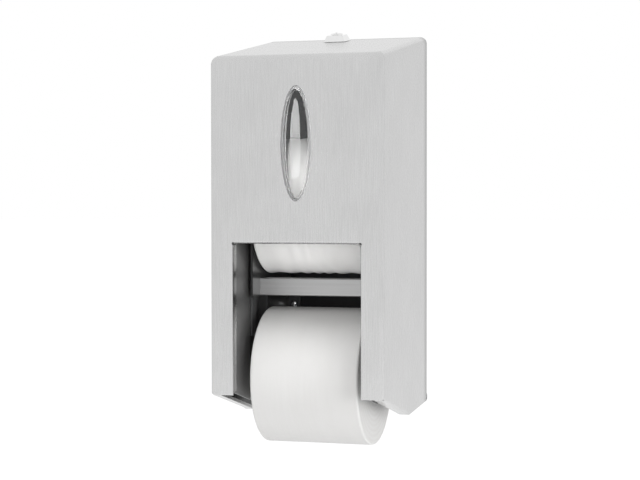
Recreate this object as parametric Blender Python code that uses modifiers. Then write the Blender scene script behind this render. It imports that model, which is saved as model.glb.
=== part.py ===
"""Two-roll toilet paper dispenser with a folded stainless cover, built piece by piece.

Metres, +Z up. The wall is the plane y = 0, the front faces -Y, and the origin is the middle of
the wall face of the back plate. Places are worked out as a depth behind the front panel and a
height over the foot of the front panel.
"""

import math

import bmesh
import bpy
from mathutils import Matrix, Vector

# Rolls, which the rest is built round
ROLL_RADIUS = 0.0635
ROLL_WIDTH = 0.102
ROLL_EDGE = 0.0016
LOWER_ROLL_HEIGHT = 0.012
CORE_BORE_RADIUS = 0.0192
CORE_WALL = 0.0011
SPINDLE_SLACK = 0.0007
SPINDLE_BORE_RADIUS = 0.010
HUB_RADIUS = 0.0143
HUB_SLACK = 0.0002
HUB_EDGE = 0.0012

# Room round the rolls
ROLL_FRONT_ROOM = 0.0201
ROLL_REAR_ROOM = 0.0164
ROLL_END_ROOM = 0.009
BAR_OVER_ROLL = 0.0113
ROLL_OVER_BAR = 0.0034
TOP_ROOM = 0.043

# Casing
STILE_WIDTH = 0.0217
TOP_RISE = 0.0285
SHEET = 0.0012
WALL_GAP = 0.003
MOUNT_HEIGHT = 0.155
TOP_BEND = 0.0065
CORNER_BEND = 0.004
KEEL_BEND = 0.003
FOOT_BEND = 0.001

# Lower outline of the side panels
KEEL_DEPTH = 0.0923
KEEL_DROP = 0.0239
REAR_DROP = 0.0187
KEEL_FLANGE = 0.0095
KEEL_LIP = 0.003
KEEL_LIP_SETBACK = 0.002
FOOT_SLIT = 0.0012

# Opening in the front panel
OPENING_OVER_BAR = 0.0332
OPENING_CORNER = 0.002
LIP_BEND = 0.0024
LIP_SIDE_BEND = 0.0010
LIP_DEPTH = 0.009
LIP_LIFT = 0.0035
RELIEF_RADIUS = 0.0013

# Window
WINDOW_WIDTH = 0.0286
WINDOW_FOOT_BAND = 0.0378
WINDOW_HEAD_BAND = 0.0273
LENS_WALL = 0.0016
LENS_RIM = 0.0028
LENS_PROUD = 0.0012
LENS_BULGE = 0.0045
LENS_FLANGE = 0.003
RETAINER_SIDE = 0.005
RETAINER_END = 0.017
RETAINER_THICKNESS = 0.0016
STUD_RADIUS = 0.0015
STUD_BEYOND_WINDOW = 0.0095
STUD_LENGTH = 0.008
PUSH_NUT_RADIUS = 0.005
PUSH_NUT_THICKNESS = 0.0009

# Cover hinge
HINGE_INSET = 0.001
HINGE_OVER_KEEL = 0.0037
HINGE_LOBE = 0.0037
HINGE_PIN_RADIUS = 0.002
HINGE_PIN_HEAD_RADIUS = 0.0036
HINGE_PIN_HEAD = 0.0014
HINGE_EAR_REACH = 0.0165
HINGE_EAR_TOP = 0.012
HINGE_EAR_NOSE = 0.0055
WASHER_THICKNESS = 0.001
WASHER_RADIUS = 0.0036

# Back plate and latch keeper
PLATE = 0.0015
PLATE_HEAD_ROOM = 0.0085
PLATE_DROP = 0.008
PLATE_FLANGE = 0.011
PLATE_FLANGE_INSET = 0.012
WALL_HOLE_RADIUS = 0.0032
WALL_HOLE_HEAD_RADIUS = 0.006
WALL_HOLE_SPACING_X = 0.060
WALL_HOLE_SPACING_Z = 0.220
WALL_HOLE_RUN = 0.010
KEEPER_FOOT_WIDTH = 0.025
KEEPER_HEIGHT = 0.024
KEEPER_SLOT_MARGIN = 0.0008
RIVET_RADIUS = 0.0018
RIVET_HEAD_RADIUS = 0.0036
RIVET_HEAD = 0.0012

# Side guides
GUIDE_MARGIN = 0.021
GUIDE_THICKNESS = 0.010
GUIDE_AHEAD = 0.0301
GUIDE_CROWN = 0.013
GUIDE_FOOT_LIFT = 0.0065
TRACK_DEPTH = 0.0085
LOWER_MOUTH_LIP = 0.008
LOWER_MOUTH_RISE = 0.038
TRACK_BEND_RISE = 0.072
TRACK_BEND_FLARE = 0.007
UPPER_MOUTH_RISE = 0.0444
UPPER_MOUTH_OPEN = 0.034
UPPER_MOUTH_SLOPE = 0.015
TAB_WIDTH = 0.013
TAB_HEIGHT = 0.024
TAB_THICKNESS = 0.003
LOWER_TAB_DROP = 0.022
UPPER_TAB_DROP = 0.032
TAB_SCREW_RADIUS = 0.0018
TAB_SCREW_HEAD_RADIUS = 0.004
TAB_SCREW_HEAD = 0.0024
DRIVE_SLOT_WIDTH = 0.001
DRIVE_SLOT_DEPTH = 0.0009

# Shields beside the opening
SHIELD_SHEET = 0.001
SHIELD_STEP = 0.0003
SHIELD_TO_GUIDE = 0.0035
SHIELD_OVER_OPENING = 0.0131
SHIELD_FOOT_WIDTH = 0.010
SHIELD_FOOT_LIFT = 0.0035

# Drop gate between the rolls
GATE_SHEET = 0.0015
GATE_SIDE_ROOM = 0.003
GATE_BAR_AHEAD = 0.0192
GATE_BAR_HEIGHT = 0.0169
GATE_BAR_LIP = 0.008
GATE_NOSE_AHEAD = 0.0411
GATE_NOSE_CHAMFER = 0.007
GATE_LEDGE_WIDTH = 0.030
GATE_WAIST_RISE = 0.0063
GATE_PIVOT_TO_PLATE = 0.013
GATE_PIVOT_RISE = 0.0082
GATE_EYE_RADIUS = 0.008
GATE_PIN_RADIUS = 0.0025
GATE_PIN_HEAD_RADIUS = 0.0045
GATE_PIN_HEAD = 0.0014
GATE_PIN_REACH = 0.0082
GATE_STOP_AHEAD = 0.034
GATE_STOP_LENGTH = 0.008
GATE_STOP_HEIGHT = 0.006
SPRING_WIRE_RADIUS = 0.0004
SPRING_COIL_RADIUS = 0.0045
SPRING_PITCH = 0.0014
SPRING_TURNS = 3.5
SPRING_POCKET_RADIUS = 0.0065
SPRING_POCKET_DEPTH = 0.005
SPRING_LEG = 0.020
SPRING_TAIL = 0.009
SPRING_TAIL_SLACK = 0.0018

# Lock
LOCK_SIDE = -0.003
LOCK_TO_REAR = 0.0215
LOCK_BASE = 0.0225
LOCK_TOP = 0.0160
LOCK_HEIGHT = 0.0058
LOCK_EDGE = 0.0005
BARREL_RADIUS = 0.007
BARREL_LENGTH = 0.016
NUT_ACROSS = 0.019
NUT_THICKNESS = 0.0035
PLUG_RADIUS = 0.0045
PLUG_HEAD_RADIUS = 0.006
PLUG_HEAD_RIM = 0.0006
PLUG_HEAD_DOME = 0.0012
PLUG_TAIL = 0.002
KEYWAY_WIDTH = 0.001
KEYWAY_LENGTH = 0.006
KEYWAY_DEPTH = 0.0035
CAM_THICKNESS = 0.002
CAM_RADIUS = 0.017
CAM_THROW = 0.0035
CAM_HUB_RADIUS = 0.0062
CAM_HALF_ANGLE = math.radians(40)
CAM_SCREW_RADIUS = 0.0018
CAM_SCREW_HEAD_RADIUS = 0.0036
CAM_SCREW_HEAD = 0.002
CAM_SCREW_GRIP = 0.006

# Shapes of small heads, as shares of their radius and their height
PAN_HEAD_SHARES = ((0, 1.0), (0.55, 0.92), (0.88, 0.6), (1.0, 0))
PIN_HEAD_SHARES = ((1.0, 0), (1.0, 0.6), (0.8, 1.0), (0, 1.0))
PLUG_DOME_SHARES = ((0, 1.0), (0.5, 0.84), (0.85, 0.42), (1.0, 0))
PUSH_NUT_SHARES = ((0.6, 1.4), (1.0, 1.0), (1.0, 0))
PUSH_NUT_LIP_SHARE = 1.6
RIVET_SHARES = (0.42, 0.8)

# Shared clearances and mesh counts
GAP = 0.0003
RUNNING_GAP = 0.0003
OVERRUN = 0.010
WELD = 0.00001
FINE_STEPS = 72
ROUND_STEPS = 28
BEND_STEPS = 4

# Worked out from the sizes above: widths
CORE_RADIUS = CORE_BORE_RADIUS + CORE_WALL
SPINDLE_RADIUS = CORE_BORE_RADIUS - SPINDLE_SLACK
TRACK_WIDTH = 2 * (HUB_RADIUS + HUB_SLACK)
GUIDE_GAP = ROLL_WIDTH + 2 * ROLL_END_ROOM
GUIDE_INNER = GUIDE_GAP / 2
HUB_REACH = GUIDE_INNER + TRACK_DEPTH - GAP
CASE_WIDTH = GUIDE_GAP + 2 * GUIDE_MARGIN
INNER_SIDE = CASE_WIDTH / 2 - SHEET
OPENING_HALF = CASE_WIDTH / 2 - STILE_WIDTH
GATE_OUTER = GUIDE_INNER - GATE_SIDE_ROOM
GATE_INNER = GATE_OUTER - GATE_SHEET
TAB_CENTRE_SIDE = GUIDE_INNER - TAB_WIDTH / 2
EAR_OUTER = INNER_SIDE - WASHER_THICKNESS - 2 * GAP
EAR_INNER = EAR_OUTER - PLATE
WINDOW_HALF_WIDTH = WINDOW_WIDTH / 2
HINGE_HOLE_RADIUS = HINGE_PIN_RADIUS + RUNNING_GAP / 2
KEEPER_SIDE = CAM_RADIUS - CAM_THROW

# Depths behind the front panel
ROLL_DEPTH = ROLL_FRONT_ROOM + ROLL_RADIUS
CASE_DEPTH = ROLL_DEPTH + ROLL_RADIUS + ROLL_REAR_ROOM
FRONT_TO_WALL = CASE_DEPTH + WALL_GAP
PLATE_FACE_DEPTH = FRONT_TO_WALL - PLATE
HINGE_DEPTH = CASE_DEPTH - HINGE_INSET
HINGE_EAR_FRONT = FRONT_TO_WALL - HINGE_EAR_REACH
GUIDE_FRONT = ROLL_DEPTH - GUIDE_AHEAD
SHIELD_REAR = GUIDE_FRONT - SHIELD_TO_GUIDE
GATE_BAR_DEPTH = ROLL_DEPTH - GATE_BAR_AHEAD
GATE_NOSE_DEPTH = ROLL_DEPTH - GATE_NOSE_AHEAD
GATE_PIVOT_DEPTH = PLATE_FACE_DEPTH - GATE_PIVOT_TO_PLATE
GATE_STOP_DEPTH = GATE_PIVOT_DEPTH - GATE_STOP_AHEAD
TAB_FRONT_DEPTH = PLATE_FACE_DEPTH - GAP - TAB_THICKNESS
LOCK_DEPTH = CASE_DEPTH - LOCK_TO_REAR

# Heights over the foot of the front panel
GATE_BAR_FOOT = LOWER_ROLL_HEIGHT + ROLL_RADIUS + BAR_OVER_ROLL
GATE_BAR_HEAD = GATE_BAR_FOOT + GATE_BAR_HEIGHT
GATE_WAIST_HEIGHT = GATE_BAR_HEAD + GATE_WAIST_RISE
GATE_PIVOT_HEIGHT = GATE_BAR_FOOT + GATE_PIVOT_RISE
UPPER_ROLL_HEIGHT = GATE_BAR_HEAD + ROLL_OVER_BAR + ROLL_RADIUS
LOWER_MOUTH_TOP = LOWER_ROLL_HEIGHT + LOWER_MOUTH_RISE
TRACK_BEND_HEIGHT = LOWER_ROLL_HEIGHT + TRACK_BEND_RISE
UPPER_MOUTH_FOOT = UPPER_ROLL_HEIGHT + UPPER_MOUTH_RISE
UPPER_MOUTH_TOP = UPPER_MOUTH_FOOT + UPPER_MOUTH_OPEN
GUIDE_TOP = UPPER_MOUTH_TOP + GUIDE_CROWN
LOWER_TAB_HEIGHT = GATE_PIVOT_HEIGHT - LOWER_TAB_DROP
UPPER_TAB_HEIGHT = GUIDE_TOP - UPPER_TAB_DROP
FRONT_HEIGHT = GUIDE_TOP + TOP_ROOM
OPENING_HEIGHT = GATE_BAR_HEAD + OPENING_OVER_BAR
SHIELD_TOP = OPENING_HEIGHT + SHIELD_OVER_OPENING
WINDOW_FOOT = OPENING_HEIGHT + WINDOW_FOOT_BAND
WINDOW_HEAD = FRONT_HEIGHT - WINDOW_HEAD_BAND
WINDOW_CENTRE_HEIGHT = (WINDOW_FOOT + WINDOW_HEAD) / 2
WINDOW_HALF_HEIGHT = (WINDOW_HEAD - WINDOW_FOOT) / 2
STUD_OFFSET = WINDOW_HALF_HEIGHT + STUD_BEYOND_WINDOW
PLATE_TOP = FRONT_HEIGHT + TOP_RISE - PLATE_HEAD_ROOM
HINGE_DROP = REAR_DROP - HINGE_OVER_KEEL

TOP_SLOPE = math.atan2(TOP_RISE, CASE_DEPTH)


def spot(depth, height):
    """The (y, z) of a place that is this far behind the front panel and over its foot."""
    return depth - FRONT_TO_WALL, height - MOUNT_HEIGHT


def top_height(depth):
    """Height of the outer face of the top panel at a depth."""
    return FRONT_HEIGHT + depth * TOP_RISE / CASE_DEPTH


def keel_height(depth):
    """Height of the lower edge of the side panels at a depth."""
    marks = (
        (0, 0),
        (KEEL_DEPTH, -KEEL_DROP),
        (CASE_DEPTH, -REAR_DROP),
    )
    for (near, near_height), (far, far_height) in zip(marks, marks[1:]):
        if depth <= far:
            share = (depth - near) / (far - near)
            return near_height + share * (far_height - near_height)
    return marks[-1][1]


def arc(centre, radius, start, end, steps):
    """Points of an arc in a plane, angles in degrees."""
    points = []
    for step in range(steps + 1):
        angle = math.radians(start + (end - start) * step / steps)
        points.append((centre[0] + radius * math.cos(angle), centre[1] + radius * math.sin(angle)))
    return points


def clear_scene():
    for obj in list(bpy.data.objects):
        bpy.data.objects.remove(obj, do_unlink=True)


def new_collection(name):
    collection = bpy.data.collections.new(name)
    bpy.context.scene.collection.children.link(collection)
    return collection


clear_scene()
PARTS = new_collection("double_roll_paper_dispenser")
CUTTERS = new_collection("cutters")


def make_material(name, colour, roughness, metallic, transmission=0.0):
    material = bpy.data.materials.new(name)
    material.use_nodes = True
    shader = material.node_tree.nodes["Principled BSDF"]
    shader.inputs["Base Color"].default_value = (*colour, 1.0)
    shader.inputs["Roughness"].default_value = roughness
    shader.inputs["Metallic"].default_value = metallic
    shader.inputs["Transmission Weight"].default_value = transmission
    return material


DARK_COAT = make_material("dark_coated_steel", (0.06, 0.06, 0.065), 0.40, 0.0)
BRUSHED = make_material("brushed_stainless", (0.62, 0.62, 0.62), 0.34, 1.0)
SATIN = make_material("satin_stainless", (0.42, 0.42, 0.43), 0.25, 1.0)
ZINC = make_material("zinc_plated_steel", (0.55, 0.56, 0.58), 0.35, 1.0)
CHROME = make_material("chrome", (0.82, 0.82, 0.83), 0.06, 1.0)
DARK_PLASTIC = make_material("dark_guide_plastic", (0.06, 0.06, 0.065), 0.30, 0.0)
PALE_PLASTIC = make_material("spindle_plastic", (0.55, 0.56, 0.57), 0.40, 0.0)
CLEAR_PLASTIC = make_material("window_plastic", (0.95, 0.96, 0.96), 0.05, 0.0, 1.0)
NYLON = make_material("nylon", (0.80, 0.79, 0.74), 0.45, 0.0)
PAPER = make_material("tissue_paper", (0.86, 0.86, 0.85), 0.90, 0.0)
CARDBOARD = make_material("core_cardboard", (0.42, 0.34, 0.25), 0.85, 0.0)
SPRING_STEEL = make_material("spring_steel", (0.50, 0.50, 0.52), 0.30, 1.0)


def add_object(name, mesh, material):
    """A part when it has a material, or else a hidden cutter."""
    obj = bpy.data.objects.new(name, mesh)
    if material is None:
        CUTTERS.objects.link(obj)
        obj.hide_render = True
        obj.display_type = "WIRE"
    else:
        PARTS.objects.link(obj)
        mesh.materials.append(material)
    return obj


def from_bmesh(name, shape, material):
    mesh = bpy.data.meshes.new(name)
    bmesh.ops.recalc_face_normals(shape, faces=shape.faces)
    shape.to_mesh(mesh)
    shape.free()
    return add_object(name, mesh, material)


def box(name, low, high, material=None):
    """A box between two corners, with its origin in its middle."""
    shape = bmesh.new()
    bmesh.ops.create_cube(shape, size=1)
    low, high = Vector(low), Vector(high)
    bmesh.ops.scale(shape, vec=high - low, verts=shape.verts)
    obj = from_bmesh(name, shape, material)
    obj.location = (low + high) / 2
    return obj


def rod(name, radius, start, end, material=None, steps=ROUND_STEPS):
    """A plain cylinder along the line from start to end."""
    start, end = Vector(start), Vector(end)
    shape = bmesh.new()
    bmesh.ops.create_cone(
        shape,
        cap_ends=True,
        segments=steps,
        radius1=radius,
        radius2=radius,
        depth=(end - start).length,
    )
    obj = from_bmesh(name, shape, material)
    obj.rotation_euler = (end - start).to_track_quat("Z", "Y").to_euler()
    obj.location = (start + end) / 2
    smooth(obj)
    return obj


def smooth(obj, angle=math.radians(40)):
    obj.data.shade_smooth()
    obj.data.set_sharp_from_angle(angle=angle)


def settled(obj, name, material):
    """A plain welded mesh object in place of a curve or of an object with modifiers."""
    bpy.context.view_layer.update()
    graph = bpy.context.evaluated_depsgraph_get()
    mesh = bpy.data.meshes.new_from_object(obj.evaluated_get(graph))
    place = obj.matrix_world.copy()
    bpy.data.objects.remove(obj)
    mesh.name = name
    mesh.materials.clear()
    shape = bmesh.new()
    shape.from_mesh(mesh)
    bmesh.ops.remove_doubles(shape, verts=shape.verts, dist=WELD)
    bmesh.ops.recalc_face_normals(shape, faces=shape.faces)
    shape.to_mesh(mesh)
    shape.free()
    result = add_object(name, mesh, material)
    result.matrix_world = place
    return result


def plate(name, outline, thickness, place, material=None):
    """A flat outline with a thickness. The outline's plane and place come from a matrix."""
    curve = bpy.data.curves.new(name, "CURVE")
    curve.dimensions = "2D"
    curve.fill_mode = "BOTH"
    curve.extrude = thickness / 2
    spline = curve.splines.new("POLY")
    spline.points.add(len(outline) - 1)
    for point, (across, up) in zip(spline.points, outline):
        point.co = (across, up, 0, 1)
    spline.use_cyclic_u = True
    obj = bpy.data.objects.new(name, curve)
    PARTS.objects.link(obj)
    obj.matrix_world = place
    return settled(obj, name, material)


# Turns a plate's (across, up) plane into (+Y, +Z), with its thickness along X
SIDEWAYS = Matrix(((0, 0, 1, 0), (1, 0, 0, 0), (0, 1, 0, 0), (0, 0, 0, 1)))


def side_plate(name, outline, x_low, x_high, material=None):
    """A plate parallel to the side panels. The outline is in (depth, height)."""
    points = [spot(*point) for point in outline]
    place = Matrix.Translation(((x_low + x_high) / 2, 0, 0)) @ SIDEWAYS
    return plate(name, points, abs(x_high - x_low), place, material)


def front_plate(name, outline, near, far, material=None):
    """A plate parallel to the front panel, between two depths. The outline is in (x, height)."""
    points = [(x, height - MOUNT_HEIGHT) for x, height in outline]
    middle = (near + far) / 2 - FRONT_TO_WALL
    place = Matrix.Translation((0, middle, 0)) @ Matrix.Rotation(math.pi / 2, 4, "X")
    return plate(name, points, far - near, place, material)


def turned(name, profile, material=None, steps=ROUND_STEPS):
    """A profile of (radius, height) pairs turned round Z, its outer side running downwards."""
    shape = bmesh.new()
    verts = [shape.verts.new((radius, 0, height)) for radius, height in profile]
    for first, second in zip(verts, verts[1:]):
        shape.edges.new((first, second))
    if profile[0][0] > 0:
        shape.edges.new((verts[-1], verts[0]))
    mesh = bpy.data.meshes.new(name)
    shape.to_mesh(mesh)
    shape.free()
    obj = add_object(name, mesh, material)
    screw = obj.modifiers.new("turn", "SCREW")
    screw.axis = "Z"
    screw.steps = steps
    screw.render_steps = steps
    screw.use_merge_vertices = True
    screw.merge_threshold = WELD
    screw.use_normal_calculate = False
    return obj


def lay_along_x(obj, x, side, depth, height):
    """Points a turned piece's +Z outwards along X, on the left (-1) or right (+1)."""
    obj.rotation_euler = (0, side * math.pi / 2, 0)
    obj.location = (side * x, *spot(depth, height))
    return obj


def lay_along_y(obj, x, depth, height):
    """Points a turned piece's +Z out of the front."""
    obj.rotation_euler = (math.pi / 2, 0, 0)
    obj.location = (x, *spot(depth, height))
    return obj


def loft(name, rings, material=None):
    """A closed solid through rings of points, each ring with as many points, ends filled."""
    shape = bmesh.new()
    loops = [[shape.verts.new(point) for point in ring] for ring in rings]
    count = len(rings[0])
    for first, second in zip(loops, loops[1:]):
        for index in range(count):
            after = (index + 1) % count
            shape.faces.new((first[index], first[after], second[after], second[index]))
    shape.faces.new(loops[0])
    shape.faces.new(loops[-1])
    return from_bmesh(name, shape, material)


def combine(obj, other, operation):
    modifier = obj.modifiers.new(other.name, "BOOLEAN")
    modifier.operation = operation
    modifier.object = other
    modifier.solver = "EXACT"
    return obj


def cut(obj, *others):
    for other in others:
        combine(obj, other, "DIFFERENCE")
    return obj


def join(obj, *others):
    for other in others:
        combine(obj, other, "UNION")
    return obj


def pivot(name, location, rotation=(0, 0, 0)):
    """An empty on a joint's axis, which carries the pieces that move about it."""
    empty = bpy.data.objects.new(name, None)
    PARTS.objects.link(empty)
    empty.location = location
    empty.rotation_euler = rotation
    return empty


def carry(parent, *pieces):
    """Parents pieces where they stand."""
    bpy.context.view_layer.update()
    for piece in pieces:
        piece.parent = parent
        piece.matrix_parent_inverse = parent.matrix_world.inverted()


def case_outline(rear_depth):
    """The side outline of the casing above its keel, from the foot of the front upwards."""
    return [
        (0, 0),
        (0, FRONT_HEIGHT),
        (rear_depth, top_height(rear_depth)),
    ]


def case_prism(name, outline, half_width, side_bends, cross_bends, material=None):
    """The outline drawn out across the width, with its own bend radius on each edge."""
    shape = bmesh.new()
    weight = shape.edges.layers.float.new("bevel_weight_edge")
    sides = []
    for x in (-half_width, half_width):
        sides.append([shape.verts.new((x, *spot(*point))) for point in outline])
    count = len(outline)
    for index in range(count):
        after = (index + 1) % count
        shape.faces.new((sides[0][index], sides[0][after], sides[1][after], sides[1][index]))
    for side in sides:
        shape.faces.new(side)
    widest = max(side_bends + cross_bends)
    for index in range(count):
        after = (index + 1) % count
        for side in sides:
            edge = shape.edges.get((side[index], side[after]))
            edge[weight] = side_bends[index] / widest
        edge = shape.edges.get((sides[0][index], sides[1][index]))
        edge[weight] = cross_bends[index] / widest
    obj = from_bmesh(name, shape, material)
    bend = obj.modifiers.new("bends", "BEVEL")
    bend.limit_method = "WEIGHT"
    bend.width = widest
    bend.segments = BEND_STEPS
    return obj


def inset(outline, distance):
    """A convex outline moved inwards, edge by edge."""
    count = len(outline)
    middle = Vector((sum(p[0] for p in outline) / count, sum(p[1] for p in outline) / count))
    lines = []
    for index in range(count):
        start = Vector(outline[index])
        along = (Vector(outline[(index + 1) % count]) - start).normalized()
        normal = Vector((-along.y, along.x))
        if normal.dot(middle - start) < 0:
            normal = -normal
        lines.append((start + normal * distance, along))
    points = []
    for index in range(count):
        (start, along), (other, across) = lines[index - 1], lines[index]
        offset = other - start
        share = offset.cross(across) / along.cross(across)
        points.append(tuple(start + along * share))
    return points


def rounded_opening(half_width, top, foot, corner, depth):
    """A ring round the opening, at one depth, with round upper corners."""
    ring = [(-half_width, foot), (half_width, foot)]
    ring += arc((half_width - corner, top - corner), corner, 0, 90, BEND_STEPS)
    ring += arc((corner - half_width, top - corner), corner, 90, 180, BEND_STEPS)
    return [(x, *spot(depth, height)) for x, height in ring]


def make_opening_cutter():
    """The opening with its front edge flared as the folded lip is rounded."""
    foot = -KEEL_DROP - OVERRUN

    def ring(depth, flare):
        beside, over = LIP_SIDE_BEND * flare, LIP_BEND * flare
        corner = OPENING_CORNER + beside
        return rounded_opening(OPENING_HALF + beside, OPENING_HEIGHT + over, foot, corner, depth)

    rings = [ring(-OVERRUN, 1)]
    for step in range(BEND_STEPS + 1):
        angle = math.pi / 2 * step / BEND_STEPS
        rings.append(ring(LIP_BEND * (1 - math.cos(angle)), 1 - math.sin(angle)))
    rings.append(ring(LIP_DEPTH + OVERRUN, 0))
    return loft("opening_cutter", rings)


def ellipse(half_width, half_height, depth, steps=FINE_STEPS):
    """A ring round the window, at one depth."""
    ring = []
    for step in range(steps):
        angle = 2 * math.pi * step / steps
        height = WINDOW_CENTRE_HEIGHT + half_height * math.sin(angle)
        ring.append((half_width * math.cos(angle), *spot(depth, height)))
    return ring


def window_ring(margin, depth):
    return ellipse(WINDOW_HALF_WIDTH + margin, WINDOW_HALF_HEIGHT + margin, depth)


def lobe_outline():
    """The casing's outline with the hinge lobe at its lower rear corner."""
    slope = math.degrees(math.atan2(KEEL_DROP - REAR_DROP, CASE_DEPTH - KEEL_DEPTH))
    rise = math.degrees(math.acos((CASE_DEPTH - HINGE_DEPTH) / HINGE_LOBE))
    lobe = arc((HINGE_DEPTH, -HINGE_DROP), HINGE_LOBE, rise, slope - 90, 2 * BEND_STEPS)
    return case_outline(CASE_DEPTH) + lobe + [(KEEL_DEPTH, -KEEL_DROP)]


def bend_cutter(side, label):
    """What the bend takes off the corner between a side panel and its flange at the foot."""
    half = CASE_WIDTH / 2
    section = []
    for step in range(BEND_STEPS + 1):
        angle = math.pi / 2 * step / BEND_STEPS
        across = half - KEEL_BEND * (1 - math.cos(angle))
        section.append((across, KEEL_BEND * (1 - math.sin(angle))))
    section.append((half - KEEL_BEND, -OVERRUN))
    section.append((half + OVERRUN, -OVERRUN))
    section.append((half + OVERRUN, KEEL_BEND))
    rings = []
    for depth in (SHEET + FOOT_SLIT / 2, KEEL_DEPTH):
        foot = keel_height(depth)
        rings.append([(side * x, *spot(depth, foot + rise)) for x, rise in section])
    return loft(f"keel_bend_cutter_{label}", rings)


def keel_lip(side, label):
    """The low upright lip along the inner edge of a flange."""
    near, far = SHEET + FOOT_SLIT, KEEL_DEPTH - KEEL_LIP_SETBACK
    outline = [
        (near, keel_height(near) - OVERRUN),
        (far, keel_height(far) - OVERRUN),
        (far, keel_height(far) + KEEL_LIP),
        (near, keel_height(near) + KEEL_LIP),
    ]
    inner = CASE_WIDTH / 2 - KEEL_FLANGE
    return side_plate(f"keel_lip_{label}", outline, side * inner, side * (inner + SHEET))


def make_cover_shell():
    outline = lobe_outline()
    plain = [0.0] * (len(outline) - 2)
    side_bends = [CORNER_BEND, TOP_BEND] + plain
    cross_bends = [FOOT_BEND, TOP_BEND] + plain
    shell = case_prism(
        "cover_shell", outline, CASE_WIDTH / 2, side_bends, cross_bends, BRUSHED
    )

    beyond = CASE_DEPTH + OVERRUN
    floor = -KEEL_DROP - 2 * OVERRUN
    hollow = inset(
        case_outline(beyond + SHEET)
        + [(beyond + SHEET, keel_height(beyond)), (KEEL_DEPTH, -KEEL_DROP)],
        SHEET,
    )
    flange_top = hollow[4][1] + (hollow[4][0] - KEEL_DEPTH) * KEEL_DROP / KEEL_DEPTH
    hollow[3] = (hollow[3][0], floor)
    hollow[4] = (KEEL_DEPTH, floor)
    hollow.append((KEEL_DEPTH, flange_top))
    side_bends = [CORNER_BEND - SHEET, TOP_BEND - SHEET, 0.0, 0.0, 0.0, KEEL_BEND - SHEET]
    cross_bends = [0.0, TOP_BEND - SHEET, 0.0, 0.0, 0.0, 0.0]
    cavity = case_prism("cavity_cutter", hollow, INNER_SIDE, side_bends, cross_bends)

    lip_half = OPENING_HALF + SHEET
    lip_block = box(
        "lip_block",
        (-lip_half, *spot(-OVERRUN, -KEEL_DROP - 3 * OVERRUN)),
        (lip_half, *spot(LIP_DEPTH, OPENING_HEIGHT + SHEET)),
    )
    cut(cavity, lip_block, keel_lip(-1, "left"), keel_lip(1, "right"))

    flange_edge = CASE_WIDTH / 2 - KEEL_FLANGE
    bottom = box(
        "bottom_cutter",
        (-flange_edge, *spot(LIP_DEPTH, -KEEL_DROP - OVERRUN)),
        (flange_edge, *spot(CASE_DEPTH, OVERRUN)),
    )
    corners = []
    for side, label in ((-1, "left"), (1, "right")):
        corners.append(bend_cutter(side, label))
        ends = sorted((side * (OPENING_HALF - SHEET), side * flange_edge))
        corners.append(
            box(
                f"stile_foot_cutter_{label}",
                (ends[0], *spot(SHEET, -OVERRUN)),
                (ends[1], *spot(LIP_DEPTH + SHEET, LIP_LIFT)),
            )
        )
        ends = sorted((side * (flange_edge - SHEET), side * CASE_WIDTH))
        corners.append(
            box(
                f"foot_slit_cutter_{label}",
                (ends[0], *spot(SHEET, -OVERRUN)),
                (ends[1], *spot(SHEET + FOOT_SLIT, SHEET)),
            )
        )
        corners.append(
            rod(
                f"lip_relief_cutter_{label}",
                RELIEF_RADIUS,
                (side * OPENING_HALF, *spot(-OVERRUN, OPENING_HEIGHT)),
                (side * OPENING_HALF, *spot(LIP_DEPTH + OVERRUN, OPENING_HEIGHT)),
                steps=ROUND_STEPS // 2,
            )
        )
    window = loft("window_cutter", [window_ring(0, -OVERRUN), window_ring(0, OVERRUN)])
    hinge_axis = spot(HINGE_DEPTH, -HINGE_DROP)
    hinge_hole = rod(
        "hinge_hole_cutter",
        HINGE_HOLE_RADIUS,
        (-CASE_WIDTH, *hinge_axis),
        (CASE_WIDTH, *hinge_axis),
    )
    lock_hole = rod("lock_hole_cutter", BARREL_RADIUS + GAP, (0, 0, -OVERRUN), (0, 0, OVERRUN))
    lock_hole.matrix_world = lock_frame() @ lock_hole.matrix_basis
    cut(shell, cavity, bottom, make_opening_cutter(), window, hinge_hole, lock_hole)
    cut(shell, *corners)

    for sign in (-1, 1):
        height = WINDOW_CENTRE_HEIGHT + sign * STUD_OFFSET
        stud = rod(
            f"stud_{'upper' if sign > 0 else 'lower'}",
            STUD_RADIUS,
            (0, *spot(SHEET / 2, height)),
            (0, *spot(STUD_LENGTH, height)),
            steps=ROUND_STEPS // 2,
        )
        join(shell, stud)
    return shell


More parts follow.
